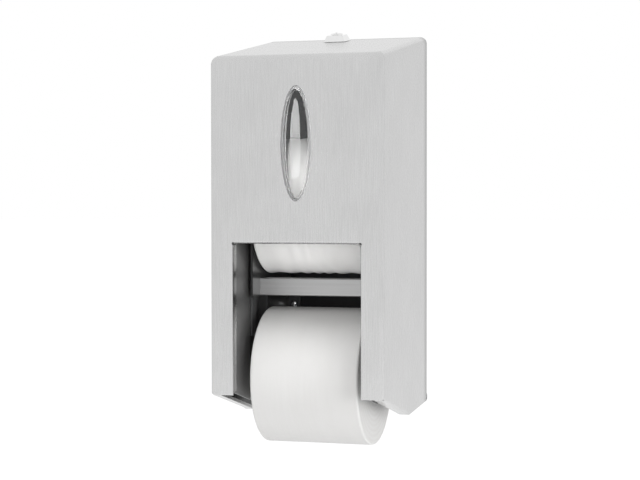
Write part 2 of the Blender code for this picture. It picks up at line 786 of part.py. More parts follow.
def make_window():
    """The clear lens, its retainer behind the panel and the two push nuts on the studs."""
    back = SHEET + GAP + LENS_WALL
    dome_steps = 7
    rim = WINDOW_HALF_WIDTH - GAP - LENS_RIM
    outer = [
        window_ring(LENS_FLANGE, back),
        window_ring(LENS_FLANGE, SHEET + GAP),
        window_ring(-GAP, SHEET + GAP),
        window_ring(-GAP, 0),
        window_ring(-GAP - LENS_PROUD / 2, -LENS_PROUD),
        window_ring(-GAP - LENS_RIM, -LENS_PROUD),
    ]
    inner = []
    for step in range(1, dome_steps):
        angle = math.pi / 2 * step / dome_steps
        shrink = -GAP - LENS_RIM - rim * (1 - math.cos(angle))
        scale = (WINDOW_HALF_WIDTH + shrink) / rim
        tall = (WINDOW_HALF_HEIGHT - GAP - LENS_RIM) * scale
        bulge = LENS_BULGE * math.sin(angle)
        outer.append(ellipse(rim * scale, tall, -LENS_PROUD - bulge))
        hollow_depth = LENS_WALL - LENS_PROUD - bulge
        inner.append(ellipse((rim - LENS_WALL) * scale, tall - LENS_WALL * scale, hollow_depth))
    inner.reverse()
    inner.append(window_ring(-GAP - LENS_RIM - LENS_WALL, LENS_WALL - LENS_PROUD))
    inner.append(window_ring(-GAP - LENS_RIM - LENS_WALL, back + OVERRUN))
    lens = loft("window_lens", outer, CLEAR_PLASTIC)
    cut(lens, loft("lens_hollow_cutter", inner))
    smooth(lens)

    front = back + GAP
    rear = front + RETAINER_THICKNESS
    wide = WINDOW_HALF_WIDTH + RETAINER_SIDE
    tall = WINDOW_HALF_HEIGHT + RETAINER_END
    retainer = loft(
        "lens_retainer", [ellipse(wide, tall, front), ellipse(wide, tall, rear)], DARK_PLASTIC
    )
    view = [window_ring(-LENS_RIM, front - OVERRUN), window_ring(-LENS_RIM, rear + OVERRUN)]
    cut(retainer, loft("retainer_view_cutter", view))
    pieces = [lens, retainer]
    for sign, label in ((-1, "lower"), (1, "upper")):
        height = WINDOW_CENTRE_HEIGHT + sign * STUD_OFFSET
        hole = rod(
            f"retainer_hole_{label}",
            STUD_RADIUS + GAP,
            (0, *spot(front - OVERRUN, height)),
            (0, *spot(rear + OVERRUN, height)),
            steps=ROUND_STEPS // 2,
        )
        cut(retainer, hole)
        bore = STUD_RADIUS + GAP / 3
        profile = [(bore, PUSH_NUT_THICKNESS * PUSH_NUT_LIP_SHARE)]
        profile += [(PUSH_NUT_RADIUS * out, PUSH_NUT_THICKNESS * up) for out, up in PUSH_NUT_SHARES]
        profile.append((bore, 0))
        nut = turned(f"push_nut_{label}", profile, ZINC, ROUND_STEPS // 2)
        nut.rotation_euler = (-math.pi / 2, 0, 0)
        nut.location = (0, *spot(rear + GAP, height))
        pieces.append(nut)
    return pieces


def make_shields():
    """The folded liners beside the opening, spot welded behind the stiles."""
    pieces = []
    inner = OPENING_HALF + SHEET + SHIELD_STEP
    foot_depth = SHEET + GAP
    foot_height = keel_height(foot_depth) + SHIELD_FOOT_LIFT
    web = [
        (foot_depth, foot_height),
        (foot_depth, SHIELD_TOP),
        (SHIELD_REAR, SHIELD_TOP),
        (SHIELD_REAR, keel_height(SHIELD_REAR) + SHIELD_FOOT_LIFT),
    ]
    for side, label in ((-1, "left"), (1, "right")):
        shield = side_plate(
            f"opening_shield_{label}", web, side * inner, side * (inner + SHIELD_SHEET), SATIN
        )
        edges = sorted((side * (inner + SHIELD_SHEET / 2), side * (inner + SHIELD_FOOT_WIDTH)))
        foot = box(
            f"shield_foot_{label}",
            (edges[0], *spot(foot_depth, foot_height)),
            (edges[1], *spot(foot_depth + SHIELD_SHEET, SHIELD_TOP)),
        )
        pieces.append(join(shield, foot))
    return pieces


def make_keyhole(name, x, height):
    """A cutter for one wall-screw keyhole: a round mouth with a narrower slot above it."""
    meet = math.degrees(math.acos(WALL_HOLE_RADIUS / WALL_HOLE_HEAD_RADIUS))
    mouth = arc((x, height), WALL_HOLE_HEAD_RADIUS, 180 - meet, 360 + meet, 3 * BEND_STEPS)
    slot_end = arc((x, height + WALL_HOLE_RUN), WALL_HOLE_RADIUS, 0, 180, 2 * BEND_STEPS)
    return front_plate(name, mouth + slot_end, PLATE_FACE_DEPTH - OVERRUN, FRONT_TO_WALL + OVERRUN)


def make_back_plate():
    low_x, high_x = -EAR_OUTER, EAR_OUTER
    obj = box(
        "back_plate",
        (low_x, *spot(PLATE_FACE_DEPTH, -PLATE_DROP)),
        (high_x, *spot(FRONT_TO_WALL, PLATE_TOP)),
        DARK_COAT,
    )
    flange = box(
        "plate_flange",
        (low_x + PLATE_FLANGE_INSET, *spot(FRONT_TO_WALL - PLATE_FLANGE, PLATE_TOP - PLATE)),
        (high_x - PLATE_FLANGE_INSET, *spot(FRONT_TO_WALL - PLATE / 2, PLATE_TOP)),
    )
    join(obj, flange)
    ear_rear = FRONT_TO_WALL
    ear_foot = -HINGE_DROP - HINGE_LOBE + GAP
    nose = HINGE_EAR_NOSE
    for side, label in ((-1, "left"), (1, "right")):
        outline = [
            (ear_rear, ear_foot),
            (ear_rear, HINGE_EAR_TOP),
            (HINGE_EAR_FRONT + nose, HINGE_EAR_TOP),
            (HINGE_EAR_FRONT, HINGE_EAR_TOP - nose),
            (HINGE_EAR_FRONT, ear_foot + 2 * nose),
            (HINGE_EAR_FRONT + nose, ear_foot),
        ]
        ear = side_plate(f"hinge_ear_{label}", outline, side * EAR_INNER, side * EAR_OUTER)
        join(obj, ear)
    axis = spot(HINGE_DEPTH, -HINGE_DROP)
    hinge_hole = rod(
        "ear_hole_cutter", HINGE_HOLE_RADIUS, (-CASE_WIDTH, *axis), (CASE_WIDTH, *axis)
    )
    cut(obj, hinge_hole)
    for side, label in ((-1, "left"), (1, "right")):
        x = side * WALL_HOLE_SPACING_X / 2
        for level, word in ((-1, "lower"), (1, "upper")):
            height = MOUNT_HEIGHT + level * WALL_HOLE_SPACING_Z / 2
            cut(obj, make_keyhole(f"keyhole_{word}_{label}", x, height))
        for word, height in (("lower", LOWER_TAB_HEIGHT), ("upper", UPPER_TAB_HEIGHT)):
            tapped = rod(
                f"tapped_hole_{word}_{label}",
                TAB_SCREW_RADIUS + GAP,
                (side * TAB_CENTRE_SIDE, *spot(PLATE_FACE_DEPTH - OVERRUN, height)),
                (side * TAB_CENTRE_SIDE, *spot(FRONT_TO_WALL + OVERRUN, height)),
                steps=ROUND_STEPS // 2,
            )
            cut(obj, tapped)
    for x, height in rivet_places():
        rivet_hole = rod(
            f"rivet_hole_{x:.3f}",
            RIVET_RADIUS + GAP,
            (x, *spot(PLATE_FACE_DEPTH - OVERRUN, height)),
            (x, *spot(FRONT_TO_WALL + OVERRUN, height)),
            steps=ROUND_STEPS // 2,
        )
        cut(obj, rivet_hole)
    return obj


def make_hinge():
    """The two hinge pins, and the nylon washers between the ears and the cover."""
    pieces = []
    shank = CASE_WIDTH / 2 - GAP - EAR_INNER + GAP
    for side, label in ((-1, "left"), (1, "right")):
        pin = headed_pin(
            f"hinge_pin_{label}",
            HINGE_PIN_RADIUS,
            shank,
            HINGE_PIN_HEAD_RADIUS,
            HINGE_PIN_HEAD,
            ZINC,
        )
        lay_along_x(pin, EAR_INNER - GAP, side, HINGE_DEPTH, -HINGE_DROP)
        washer = turned(
            f"hinge_washer_{label}",
            [
                (HINGE_HOLE_RADIUS, WASHER_THICKNESS),
                (WASHER_RADIUS, WASHER_THICKNESS),
                (WASHER_RADIUS, 0),
                (HINGE_HOLE_RADIUS, 0),
            ],
            NYLON,
        )
        lay_along_x(washer, EAR_OUTER + GAP, side, HINGE_DEPTH, -HINGE_DROP)
        pieces += [pin, washer]
    return pieces


def track_outline():
    """The hub's track in a side guide: a seat, an upright run and two mouths in its front edge."""
    half = TRACK_WIDTH / 2
    front, rear = ROLL_DEPTH - half, ROLL_DEPTH + half
    open_edge = GUIDE_FRONT - OVERRUN
    seat = arc((ROLL_DEPTH, LOWER_ROLL_HEIGHT), half, 0, -180, 4 * BEND_STEPS)
    return [
        (rear, UPPER_MOUTH_FOOT),
        *seat,
        (GUIDE_FRONT, LOWER_ROLL_HEIGHT + LOWER_MOUTH_LIP),
        (open_edge, LOWER_ROLL_HEIGHT + LOWER_MOUTH_LIP),
        (open_edge, LOWER_MOUTH_TOP),
        (front - TRACK_BEND_FLARE, LOWER_MOUTH_TOP),
        (front, TRACK_BEND_HEIGHT),
        (front, UPPER_MOUTH_FOOT - UPPER_MOUTH_SLOPE),
        (open_edge, UPPER_MOUTH_FOOT),
        (open_edge, UPPER_MOUTH_TOP),
        (GUIDE_FRONT, UPPER_MOUTH_TOP),
    ]


def make_side_guides():
    """The moulded side guides that the roll hubs run in, with their screwed tabs."""
    guides = []
    rear = PLATE_FACE_DEPTH - GAP
    outline = [(GUIDE_FRONT, GUIDE_TOP), (rear, GUIDE_TOP)]
    for depth in (rear, KEEL_DEPTH, GUIDE_FRONT):
        outline.append((depth, keel_height(depth) + GUIDE_FOOT_LIFT))
    for side, label in ((-1, "left"), (1, "right")):
        outer = GUIDE_INNER + GUIDE_THICKNESS
        guide = side_plate(
            f"side_guide_{label}", outline, side * GUIDE_INNER, side * outer, DARK_PLASTIC
        )
        edges = sorted((side * (GUIDE_INNER - TAB_WIDTH), side * (GUIDE_INNER + TAB_THICKNESS)))
        for word, height in (("lower", LOWER_TAB_HEIGHT), ("upper", UPPER_TAB_HEIGHT)):
            tab = box(
                f"guide_tab_{word}_{label}",
                (edges[0], *spot(TAB_FRONT_DEPTH, height - TAB_HEIGHT / 2)),
                (edges[1], *spot(rear, height + TAB_HEIGHT / 2)),
            )
            hole = rod(
                f"tab_hole_{word}_{label}",
                TAB_SCREW_RADIUS + GAP,
                (side * TAB_CENTRE_SIDE, *spot(TAB_FRONT_DEPTH - OVERRUN, height)),
                (side * TAB_CENTRE_SIDE, *spot(FRONT_TO_WALL, height)),
                steps=ROUND_STEPS // 2,
            )
            join(guide, tab)
            cut(guide, hole)
        join(guide, make_gate_stop(side, label))
        track = side_plate(
            f"track_cutter_{label}",
            track_outline(),
            side * (GUIDE_INNER - OVERRUN),
            side * (GUIDE_INNER + TRACK_DEPTH),
        )
        pivot_spot = spot(GATE_PIVOT_DEPTH, GATE_PIVOT_HEIGHT)
        pocket = rod(
            f"spring_pocket_{label}",
            SPRING_POCKET_RADIUS,
            (side * (GUIDE_INNER - OVERRUN), *pivot_spot),
            (side * (GUIDE_INNER + SPRING_POCKET_DEPTH), *pivot_spot),
        )
        pin_hole = rod(
            f"pin_hole_{label}",
            GATE_PIN_RADIUS + RUNNING_GAP / 2,
            (side * GUIDE_INNER, *pivot_spot),
            (side * (GUIDE_INNER + GATE_PIN_REACH + GAP), *pivot_spot),
        )
        tail_top = GATE_PIVOT_HEIGHT + SPRING_COIL_RADIUS + SPRING_WIRE_RADIUS + GAP
        tail_slots = box(
            f"tail_slot_{label}",
            (
                min(side * (GUIDE_INNER - OVERRUN), side * (GUIDE_INNER + SPRING_POCKET_DEPTH)),
                *spot(GATE_PIVOT_DEPTH - SPRING_TAIL - SPRING_TAIL_SLACK, tail_top),
            ),
            (
                max(side * (GUIDE_INNER - OVERRUN), side * (GUIDE_INNER + SPRING_POCKET_DEPTH)),
                *spot(GATE_PIVOT_DEPTH, tail_top - 2 * SPRING_WIRE_RADIUS - SPRING_TAIL_SLACK),
            ),
        )
        cut(guide, track, pocket, pin_hole, tail_slots)
        guides.append(guide)
    return guides


def pan_head(name, shank_radius, shank, head_radius, head, material):
    """A fastener with a low domed head, its shank running down from the head's underside."""
    profile = [(head_radius * out, head * up) for out, up in PAN_HEAD_SHARES]
    profile += [(shank_radius, 0), (shank_radius, -shank), (0, -shank)]
    return turned(name, profile, material, ROUND_STEPS // 2 + 2)


def headed_pin(name, radius, shank, head_radius, head, material):
    """A pin whose shank runs up from its flat-headed foot."""
    profile = [(0, shank), (radius, shank), (radius, 0)]
    profile += [(head_radius * out, -head * down) for out, down in PIN_HEAD_SHARES]
    return turned(name, profile, material)


def make_guide_screws():
    screws = []
    for side, label in ((-1, "left"), (1, "right")):
        for word, height in (("lower", LOWER_TAB_HEIGHT), ("upper", UPPER_TAB_HEIGHT)):
            seat = TAB_FRONT_DEPTH - GAP
            screw = pan_head(
                f"guide_screw_{word}_{label}",
                TAB_SCREW_RADIUS,
                FRONT_TO_WALL - GAP - seat,
                TAB_SCREW_HEAD_RADIUS,
                TAB_SCREW_HEAD,
                ZINC,
            )
            x = side * TAB_CENTRE_SIDE
            lay_along_y(screw, x, seat, height)
            slot_foot = seat - TAB_SCREW_HEAD + DRIVE_SLOT_DEPTH
            low, high = height - DRIVE_SLOT_WIDTH / 2, height + DRIVE_SLOT_WIDTH / 2
            drive = box(
                f"drive_slot_{word}_{label}",
                (x - TAB_SCREW_HEAD_RADIUS, *spot(seat - 2 * TAB_SCREW_HEAD, low)),
                (x + TAB_SCREW_HEAD_RADIUS, *spot(slot_foot, high)),
            )
            cut(screw, drive)
            screws.append(screw)
    return screws


def arm_waist_height(depth):
    """Height of the upper edge of the gate's arms, between their waist and their eye."""
    waist = ROLL_DEPTH + GATE_LEDGE_WIDTH / 2 + GATE_NOSE_CHAMFER
    share = (depth - waist) / (GATE_PIVOT_DEPTH - waist)
    eye_top = GATE_PIVOT_HEIGHT + GATE_EYE_RADIUS
    return GATE_WAIST_HEIGHT + share * (eye_top - GATE_WAIST_HEIGHT)


def make_gate_stop(side, label):
    """The moulded stop on a guide that the gate's arm rests under, its foot as sloped as the arm."""
    ends = (GATE_STOP_DEPTH, GATE_STOP_DEPTH + GATE_STOP_LENGTH)
    low = [arm_waist_height(depth) + GAP for depth in ends]
    outline = [
        (ends[0], low[0]),
        (ends[1], low[1]),
        (ends[1], low[1] + GATE_STOP_HEIGHT),
        (ends[0], low[0] + GATE_STOP_HEIGHT),
    ]
    root = GUIDE_INNER + GUIDE_THICKNESS / 4
    return side_plate(f"gate_stop_{label}", outline, side * GATE_INNER, side * root)


def gate_arm_outline():
    """One arm of the drop gate: pivot eye behind, ledge under the upper hub, nose in front."""
    ledge = UPPER_ROLL_HEIGHT - HUB_RADIUS - GAP
    rear = ROLL_DEPTH + GATE_LEDGE_WIDTH / 2
    bar_foot = GATE_BAR_FOOT - GATE_SHEET / 2
    eye = arc((GATE_PIVOT_DEPTH, GATE_PIVOT_HEIGHT), GATE_EYE_RADIUS, 90, -90, 2 * BEND_STEPS)
    return [
        (GATE_NOSE_DEPTH, ledge - GATE_NOSE_CHAMFER),
        (GATE_NOSE_DEPTH + GATE_NOSE_CHAMFER, ledge),
        (rear, ledge),
        (rear + GATE_NOSE_CHAMFER / 2, ledge - GATE_NOSE_CHAMFER),
        (rear + GATE_NOSE_CHAMFER, GATE_WAIST_HEIGHT),
        *eye,
        (GATE_NOSE_DEPTH, bar_foot),
    ]


def make_gate():
    """The U-shaped drop gate: two arms joined by the bar that shows between the rolls."""
    back = GATE_BAR_DEPTH + GATE_BAR_LIP
    foot, head = GATE_BAR_FOOT, GATE_BAR_HEAD
    channel = [
        (GATE_BAR_DEPTH, foot),
        (GATE_BAR_DEPTH, head),
        (back, head),
        (back, head - GATE_SHEET),
        (GATE_BAR_DEPTH + GATE_SHEET, head - GATE_SHEET),
        (GATE_BAR_DEPTH + GATE_SHEET, foot + GATE_SHEET),
        (back, foot + GATE_SHEET),
        (back, foot),
    ]
    half = GATE_OUTER - GATE_SHEET / 2
    gate = side_plate("drop_gate", channel, -half, half, BRUSHED)
    for side, label in ((-1, "left"), (1, "right")):
        arm = side_plate(
            f"gate_arm_{label}", gate_arm_outline(), side * GATE_INNER, side * GATE_OUTER
        )
        join(gate, arm)
    axis = spot(GATE_PIVOT_DEPTH, GATE_PIVOT_HEIGHT)
    eye_hole = rod(
        "gate_eye_cutter",
        GATE_PIN_RADIUS + RUNNING_GAP / 2,
        (-GUIDE_GAP, *axis),
        (GUIDE_GAP, *axis),
    )
    return cut(gate, eye_hole)


def make_gate_pins():
    pins = []
    shank = GUIDE_INNER + GATE_PIN_REACH - GATE_INNER + GAP
    for side, label in ((-1, "left"), (1, "right")):
        pin = headed_pin(
            f"gate_pin_{label}",
            GATE_PIN_RADIUS,
            shank,
            GATE_PIN_HEAD_RADIUS,
            GATE_PIN_HEAD,
            ZINC,
        )
        lay_along_x(pin, GATE_INNER - GAP, side, GATE_PIVOT_DEPTH, GATE_PIVOT_HEIGHT)
        pins.append(pin)
    return pins


def spring_points(side):
    """The torsion spring's route: a hook under the gate's arm, the coil, a tail in the guide."""
    steps = 10
    first = GATE_OUTER + GAP + SPRING_WIRE_RADIUS
    depth, height = GATE_PIVOT_DEPTH, GATE_PIVOT_HEIGHT
    low = height - SPRING_COIL_RADIUS
    # The underside of the arm runs from its eye to the foot of the bar
    share = SPRING_LEG / (GATE_PIVOT_DEPTH - GATE_BAR_DEPTH)
    underside = GATE_PIVOT_HEIGHT - GATE_EYE_RADIUS
    underside += share * (GATE_BAR_FOOT - GATE_SHEET / 2 - underside)
    hook = underside - SPRING_WIRE_RADIUS - GAP
    inside = GATE_INNER + GATE_SHEET / 4
    route = [
        (inside, depth - SPRING_LEG, hook),
        (first, depth - SPRING_LEG, hook),
        (first, depth - SPRING_LEG / 2, (hook + low) / 2),
    ]
    count = round(SPRING_TURNS * steps)
    for step in range(count + 1):
        angle = -math.pi / 2 + 2 * math.pi * step / steps
        x = first + SPRING_PITCH * step / steps
        near = depth + SPRING_COIL_RADIUS * math.cos(angle)
        route.append((x, near, height + SPRING_COIL_RADIUS * math.sin(angle)))
    last = route[-1]
    route.append((last[0], depth - SPRING_TAIL, last[2]))
    return [(side * x, *spot(near, up)) for x, near, up in route]


def least_coil_gap():
    return SPRING_PITCH - 2 * SPRING_WIRE_RADIUS


def make_springs():
    springs = []
    for side, label in ((-1, "left"), (1, "right")):
        curve = bpy.data.curves.new(f"gate_spring_{label}", "CURVE")
        curve.dimensions = "3D"
        curve.bevel_depth = SPRING_WIRE_RADIUS
        curve.bevel_resolution = 1
        curve.use_fill_caps = True
        spline = curve.splines.new("POLY")
        points = spring_points(side)
        spline.points.add(len(points) - 1)
        for point, place in zip(spline.points, points):
            point.co = (*place, 1)
        obj = bpy.data.objects.new(f"gate_spring_{label}", curve)
        PARTS.objects.link(obj)
        springs.append(settled(obj, f"gate_spring_{label}", SPRING_STEEL))
    print("least gap between the spring's turns, mm:", round(least_coil_gap() * 1000, 2))
    return springs


def make_roll(label, height):
    """One roll: its spindle, its cardboard core and the wound paper, all turned along X."""
    half = ROLL_WIDTH / 2
    shoulder = half - GAP
    spindle_profile = [
        (SPINDLE_BORE_RADIUS, HUB_REACH),
        (HUB_RADIUS - HUB_EDGE, HUB_REACH),
        (HUB_RADIUS, HUB_REACH - HUB_EDGE),
        (HUB_RADIUS, shoulder),
        (SPINDLE_RADIUS, shoulder - HUB_EDGE),
        (SPINDLE_RADIUS, HUB_EDGE - shoulder),
        (HUB_RADIUS, -shoulder),
        (HUB_RADIUS, HUB_EDGE - HUB_REACH),
        (HUB_RADIUS - HUB_EDGE, -HUB_REACH),
        (SPINDLE_BORE_RADIUS, -HUB_REACH),
    ]
    spindle = turned(f"{label}_spindle", spindle_profile, PALE_PLASTIC, FINE_STEPS // 2)
    core = turned(
        f"{label}_core",
        [
            (CORE_BORE_RADIUS, half),
            (CORE_RADIUS, half),
            (CORE_RADIUS, -half),
            (CORE_BORE_RADIUS, -half),
        ],
        CARDBOARD,
        FINE_STEPS // 2,
    )
    inner = CORE_RADIUS + GAP
    edge = arc((ROLL_RADIUS - ROLL_EDGE, half - ROLL_EDGE), ROLL_EDGE, 90, 0, 2)
    mirrored = [(radius, -place) for radius, place in reversed(edge)]
    paper = turned(
        f"{label}_paper_roll",
        [(inner, half), *edge, *mirrored, (inner, -half)],
        PAPER,
        FINE_STEPS,
    )
    for piece in (spindle, core, paper):
        lay_along_x(piece, 0, 1, ROLL_DEPTH, height)
    return spindle, core, paper


def lock_frame():
    """The lock's own frame: its origin on the top panel, its Z square to the panel."""
    y, z = spot(LOCK_DEPTH, top_height(LOCK_DEPTH))
    return Matrix.Translation((LOCK_SIDE, y, z)) @ Matrix.Rotation(TOP_SLOPE, 4, "X")


def cam_level():
    """The (foot, head) of the cam under the panel, in the lock's frame."""
    head = -BARREL_LENGTH - PLUG_TAIL - GAP
    return head - CAM_THICKNESS, head


def square_block(name, base, top, foot, head, material):
    """A four-sided taper, its sides square to X and Y."""
    shape = bmesh.new()
    bmesh.ops.create_cone(
        shape,
        cap_ends=True,
        segments=4,
        radius1=base / math.sqrt(2),
        radius2=top / math.sqrt(2),
        depth=head - foot,
    )
    bmesh.ops.rotate(shape, verts=shape.verts, matrix=Matrix.Rotation(math.pi / 4, 3, "Z"))
    bmesh.ops.translate(shape, verts=shape.verts, vec=(0, 0, (foot + head) / 2))
    obj = from_bmesh(name, shape, material)
    edge = obj.modifiers.new("edges", "BEVEL")
    edge.width = LOCK_EDGE
    edge.segments = 2
    return obj


def make_lock():
    """The lock on the top panel: housing and nut, and the plug, cam and screw that turn."""
    housing = square_block("lock_housing", LOCK_BASE, LOCK_TOP, GAP, GAP + LOCK_HEIGHT, CHROME)
    barrel = rod(
        "lock_barrel", BARREL_RADIUS, (0, 0, -BARREL_LENGTH), (0, 0, LOCK_HEIGHT / 2)
    )
    ends = (0, 0, -2 * BARREL_LENGTH), (0, 0, BARREL_LENGTH)
    bore = rod("lock_bore", PLUG_RADIUS + RUNNING_GAP, *ends)
    cut(join(housing, barrel), bore)

    nut_head = -SHEET - GAP
    nut = rod(
        "lock_nut",
        NUT_ACROSS / math.sqrt(3),
        (0, 0, nut_head - NUT_THICKNESS),
        (0, 0, nut_head),
        ZINC,
        6,
    )
    nut.data.shade_flat()
    nut_bore = rod("nut_bore", BARREL_RADIUS + GAP, *ends)
    cut(nut, nut_bore)

    seat = GAP + LOCK_HEIGHT + GAP
    rim = seat + PLUG_HEAD_RIM
    profile = [(PLUG_HEAD_RADIUS * out, rim + PLUG_HEAD_DOME * up) for out, up in PLUG_DOME_SHARES]
    profile += [
        (PLUG_HEAD_RADIUS, seat),
        (PLUG_RADIUS, seat),
        (PLUG_RADIUS, -BARREL_LENGTH - PLUG_TAIL),
        (0, -BARREL_LENGTH - PLUG_TAIL),
    ]
    plug = turned("lock_plug", profile, CHROME)
    crown = rim + PLUG_HEAD_DOME
    keyway = box(
        "keyway_cutter",
        (-KEYWAY_WIDTH / 2, -KEYWAY_LENGTH / 2, crown - KEYWAY_DEPTH),
        (KEYWAY_WIDTH / 2, KEYWAY_LENGTH / 2, crown + OVERRUN),
    )
    tail_hole = rod(
        "plug_tail_hole",
        CAM_SCREW_RADIUS + GAP,
        (0, 0, -2 * BARREL_LENGTH),
        (0, 0, -BARREL_LENGTH - PLUG_TAIL + CAM_SCREW_GRIP + GAP),
        steps=ROUND_STEPS // 2,
    )
    cut(plug, keyway, tail_hole)

    foot, head = cam_level()
    spread = math.degrees(CAM_HALF_ANGLE)
    waist = math.degrees(math.acos(CAM_HUB_RADIUS / CAM_RADIUS))
    # The sector points forward, so the lock is open; a quarter turn puts it through the keeper
    sector = arc((0, 0), CAM_RADIUS, -90 - spread, -90 + spread, 3 * BEND_STEPS)
    turn = waist + spread / 2
    hub = arc((0, 0), CAM_HUB_RADIUS, turn - 90, 270 - turn, 3 * BEND_STEPS)
    cam = plate(
        "lock_cam", sector + hub, CAM_THICKNESS, Matrix.Translation((0, 0, (foot + head) / 2)), ZINC
    )
    cam_hole = rod(
        "cam_hole", CAM_SCREW_RADIUS + GAP, (0, 0, foot - OVERRUN), (0, 0, head + OVERRUN),
        steps=ROUND_STEPS // 2,
    )
    cut(cam, cam_hole)

    screw = pan_head(
        "cam_screw",
        CAM_SCREW_RADIUS,
        CAM_THICKNESS + 2 * GAP + CAM_SCREW_GRIP,
        CAM_SCREW_HEAD_RADIUS,
        CAM_SCREW_HEAD,
        ZINC,
    )
    screw.rotation_euler = (math.pi, 0, 0)
    screw.location = (0, 0, foot - GAP)

    bpy.context.view_layer.update()
    for obj in (housing, barrel, bore, nut, nut_bore, plug, keyway, tail_hole, cam, cam_hole, screw):
        obj.matrix_world = lock_frame() @ obj.matrix_world
    return (housing, nut), (plug, cam, screw)


def cam_middle():
    """The (depth, height) of the middle of the cam."""
    foot, head = cam_level()
    middle = lock_frame() @ Vector((0, 0, (foot + head) / 2))
    return middle.y + FRONT_TO_WALL, middle.z + MOUNT_HEIGHT


def keeper_height():
    return cam_middle()[1]


def rivet_places():
    """The (x, height) of the two rivets of the keeper."""
    tab = LOCK_SIDE + KEEPER_SIDE
    return [(tab + KEEPER_FOOT_WIDTH * share, keeper_height()) for share in RIVET_SHARES]


def make_keeper():
    """The latch keeper on the back plate: a riveted foot and a slotted tab for the cam."""
    x = LOCK_SIDE + KEEPER_SIDE
    low = keeper_height() - KEEPER_HEIGHT / 2
    high = keeper_height() + KEEPER_HEIGHT / 2
    rear = PLATE_FACE_DEPTH - GAP
    keeper = box(
        "latch_keeper",
        (x, *spot(rear - PLATE, low)),
        (x + KEEPER_FOOT_WIDTH, *spot(rear, high)),
        ZINC,
    )
    # The tab stops short of the plate's flange, which is folded forward above it
    tab = box(
        "keeper_tab",
        (x, *spot(cam_middle()[0] - CAM_RADIUS, low)),
        (x + PLATE, *spot(rear - PLATE / 2, high)),
    )
    # The slot is square to the sheet, and high enough for the slanting cam
    depth, height = cam_middle()
    chord = math.sqrt(CAM_RADIUS**2 - KEEPER_SIDE**2) + KEEPER_SLOT_MARGIN
    room = chord * math.sin(TOP_SLOPE) + CAM_THICKNESS / 2 + KEEPER_SLOT_MARGIN
    slot = box(
        "keeper_slot",
        (x - OVERRUN / 2, *spot(depth - chord, height - room)),
        (x + PLATE + OVERRUN / 2, *spot(depth + chord, height + room)),
    )
    cut(join(keeper, tab), slot)
    rivets = []
    for number, (rivet_x, height) in enumerate(rivet_places(), 1):
        hole = rod(
            f"keeper_hole_{number}",
            RIVET_RADIUS + GAP,
            (rivet_x, *spot(rear - OVERRUN, height)),
            (rivet_x, *spot(rear + OVERRUN, height)),
            steps=ROUND_STEPS // 2,
        )
        cut(keeper, hole)
        seat = rear - PLATE - GAP
        rivet = pan_head(
            f"keeper_rivet_{number}",
            RIVET_RADIUS,
            FRONT_TO_WALL - GAP - seat,
            RIVET_HEAD_RADIUS,
            RIVET_HEAD,
            ZINC,
        )
        lay_along_y(rivet, rivet_x, seat, height)
        rivets.append(rivet)
    return [keeper, *rivets]


def main():
    make_back_plate()
    make_keeper()
    make_side_guides()
    make_guide_screws()
    make_hinge()
    make_gate_pins()

    cover_axis = pivot("cover_hinge_axis", (0, *spot(HINGE_DEPTH, -HINGE_DROP)))
    housing_pieces, turning_pieces = make_lock()
    carry(cover_axis, make_cover_shell(), *make_window(), *make_shields(), *housing_pieces)

    frame = lock_frame()
    lock_axis = pivot("lock_turn_axis", frame.translation, frame.to_euler())
    carry(lock_axis, *turning_pieces)
    carry(cover_axis, lock_axis)

    gate_axis = pivot("gate_swing_axis", (0, *spot(GATE_PIVOT_DEPTH, GATE_PIVOT_HEIGHT)))
    carry(gate_axis, make_gate(), *make_springs())

    make_roll("lower", LOWER_ROLL_HEIGHT)
    make_roll("upper", UPPER_ROLL_HEIGHT)

    for obj in PARTS.objects:
        if obj.type == "MESH" and obj.name != "lock_nut":
            smooth(obj)


main()
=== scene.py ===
"""Looks of the two-roll paper dispenser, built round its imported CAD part.

Metres, in the part's own frame: the wall is y = 0, the front faces -Y and +Z is up. Places are
worked out as a depth behind the front panel and a height over the foot of the front panel.
"""

import math

import bmesh
import bpy
from mathutils import Matrix, Vector


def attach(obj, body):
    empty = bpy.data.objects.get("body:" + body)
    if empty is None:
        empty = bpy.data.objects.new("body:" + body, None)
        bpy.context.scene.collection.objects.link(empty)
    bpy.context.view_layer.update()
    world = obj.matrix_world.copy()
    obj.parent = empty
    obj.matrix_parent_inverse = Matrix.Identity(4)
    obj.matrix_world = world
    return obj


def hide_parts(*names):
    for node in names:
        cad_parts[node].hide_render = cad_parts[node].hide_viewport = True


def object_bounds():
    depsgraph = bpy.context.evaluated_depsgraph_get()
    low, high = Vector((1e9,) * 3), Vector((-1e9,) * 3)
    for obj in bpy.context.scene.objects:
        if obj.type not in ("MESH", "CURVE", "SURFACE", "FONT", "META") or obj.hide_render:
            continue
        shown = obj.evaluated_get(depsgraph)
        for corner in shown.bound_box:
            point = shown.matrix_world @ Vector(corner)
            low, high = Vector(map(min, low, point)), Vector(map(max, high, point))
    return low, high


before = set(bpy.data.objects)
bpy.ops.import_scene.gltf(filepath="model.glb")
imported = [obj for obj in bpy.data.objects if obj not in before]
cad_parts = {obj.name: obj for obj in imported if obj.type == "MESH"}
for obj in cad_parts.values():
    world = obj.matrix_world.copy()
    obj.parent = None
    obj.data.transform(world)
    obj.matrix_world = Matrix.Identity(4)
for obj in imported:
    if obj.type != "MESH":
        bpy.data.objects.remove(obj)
CAD_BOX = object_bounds()

# Camera, fitted to the photograph
FRAME_PIXELS = 640
SENSOR = 36
FOCAL_PIXELS = 1637.6
CAMERA_SIDE = 0.4418
CAMERA_DEPTH = -1.3856
CAMERA_HEIGHT = 0.1750
CAMERA_TURN = math.radians(16.84)
CAMERA_TILT = math.radians(-1.36)
CAMERA_ROLL = math.radians(-0.06)

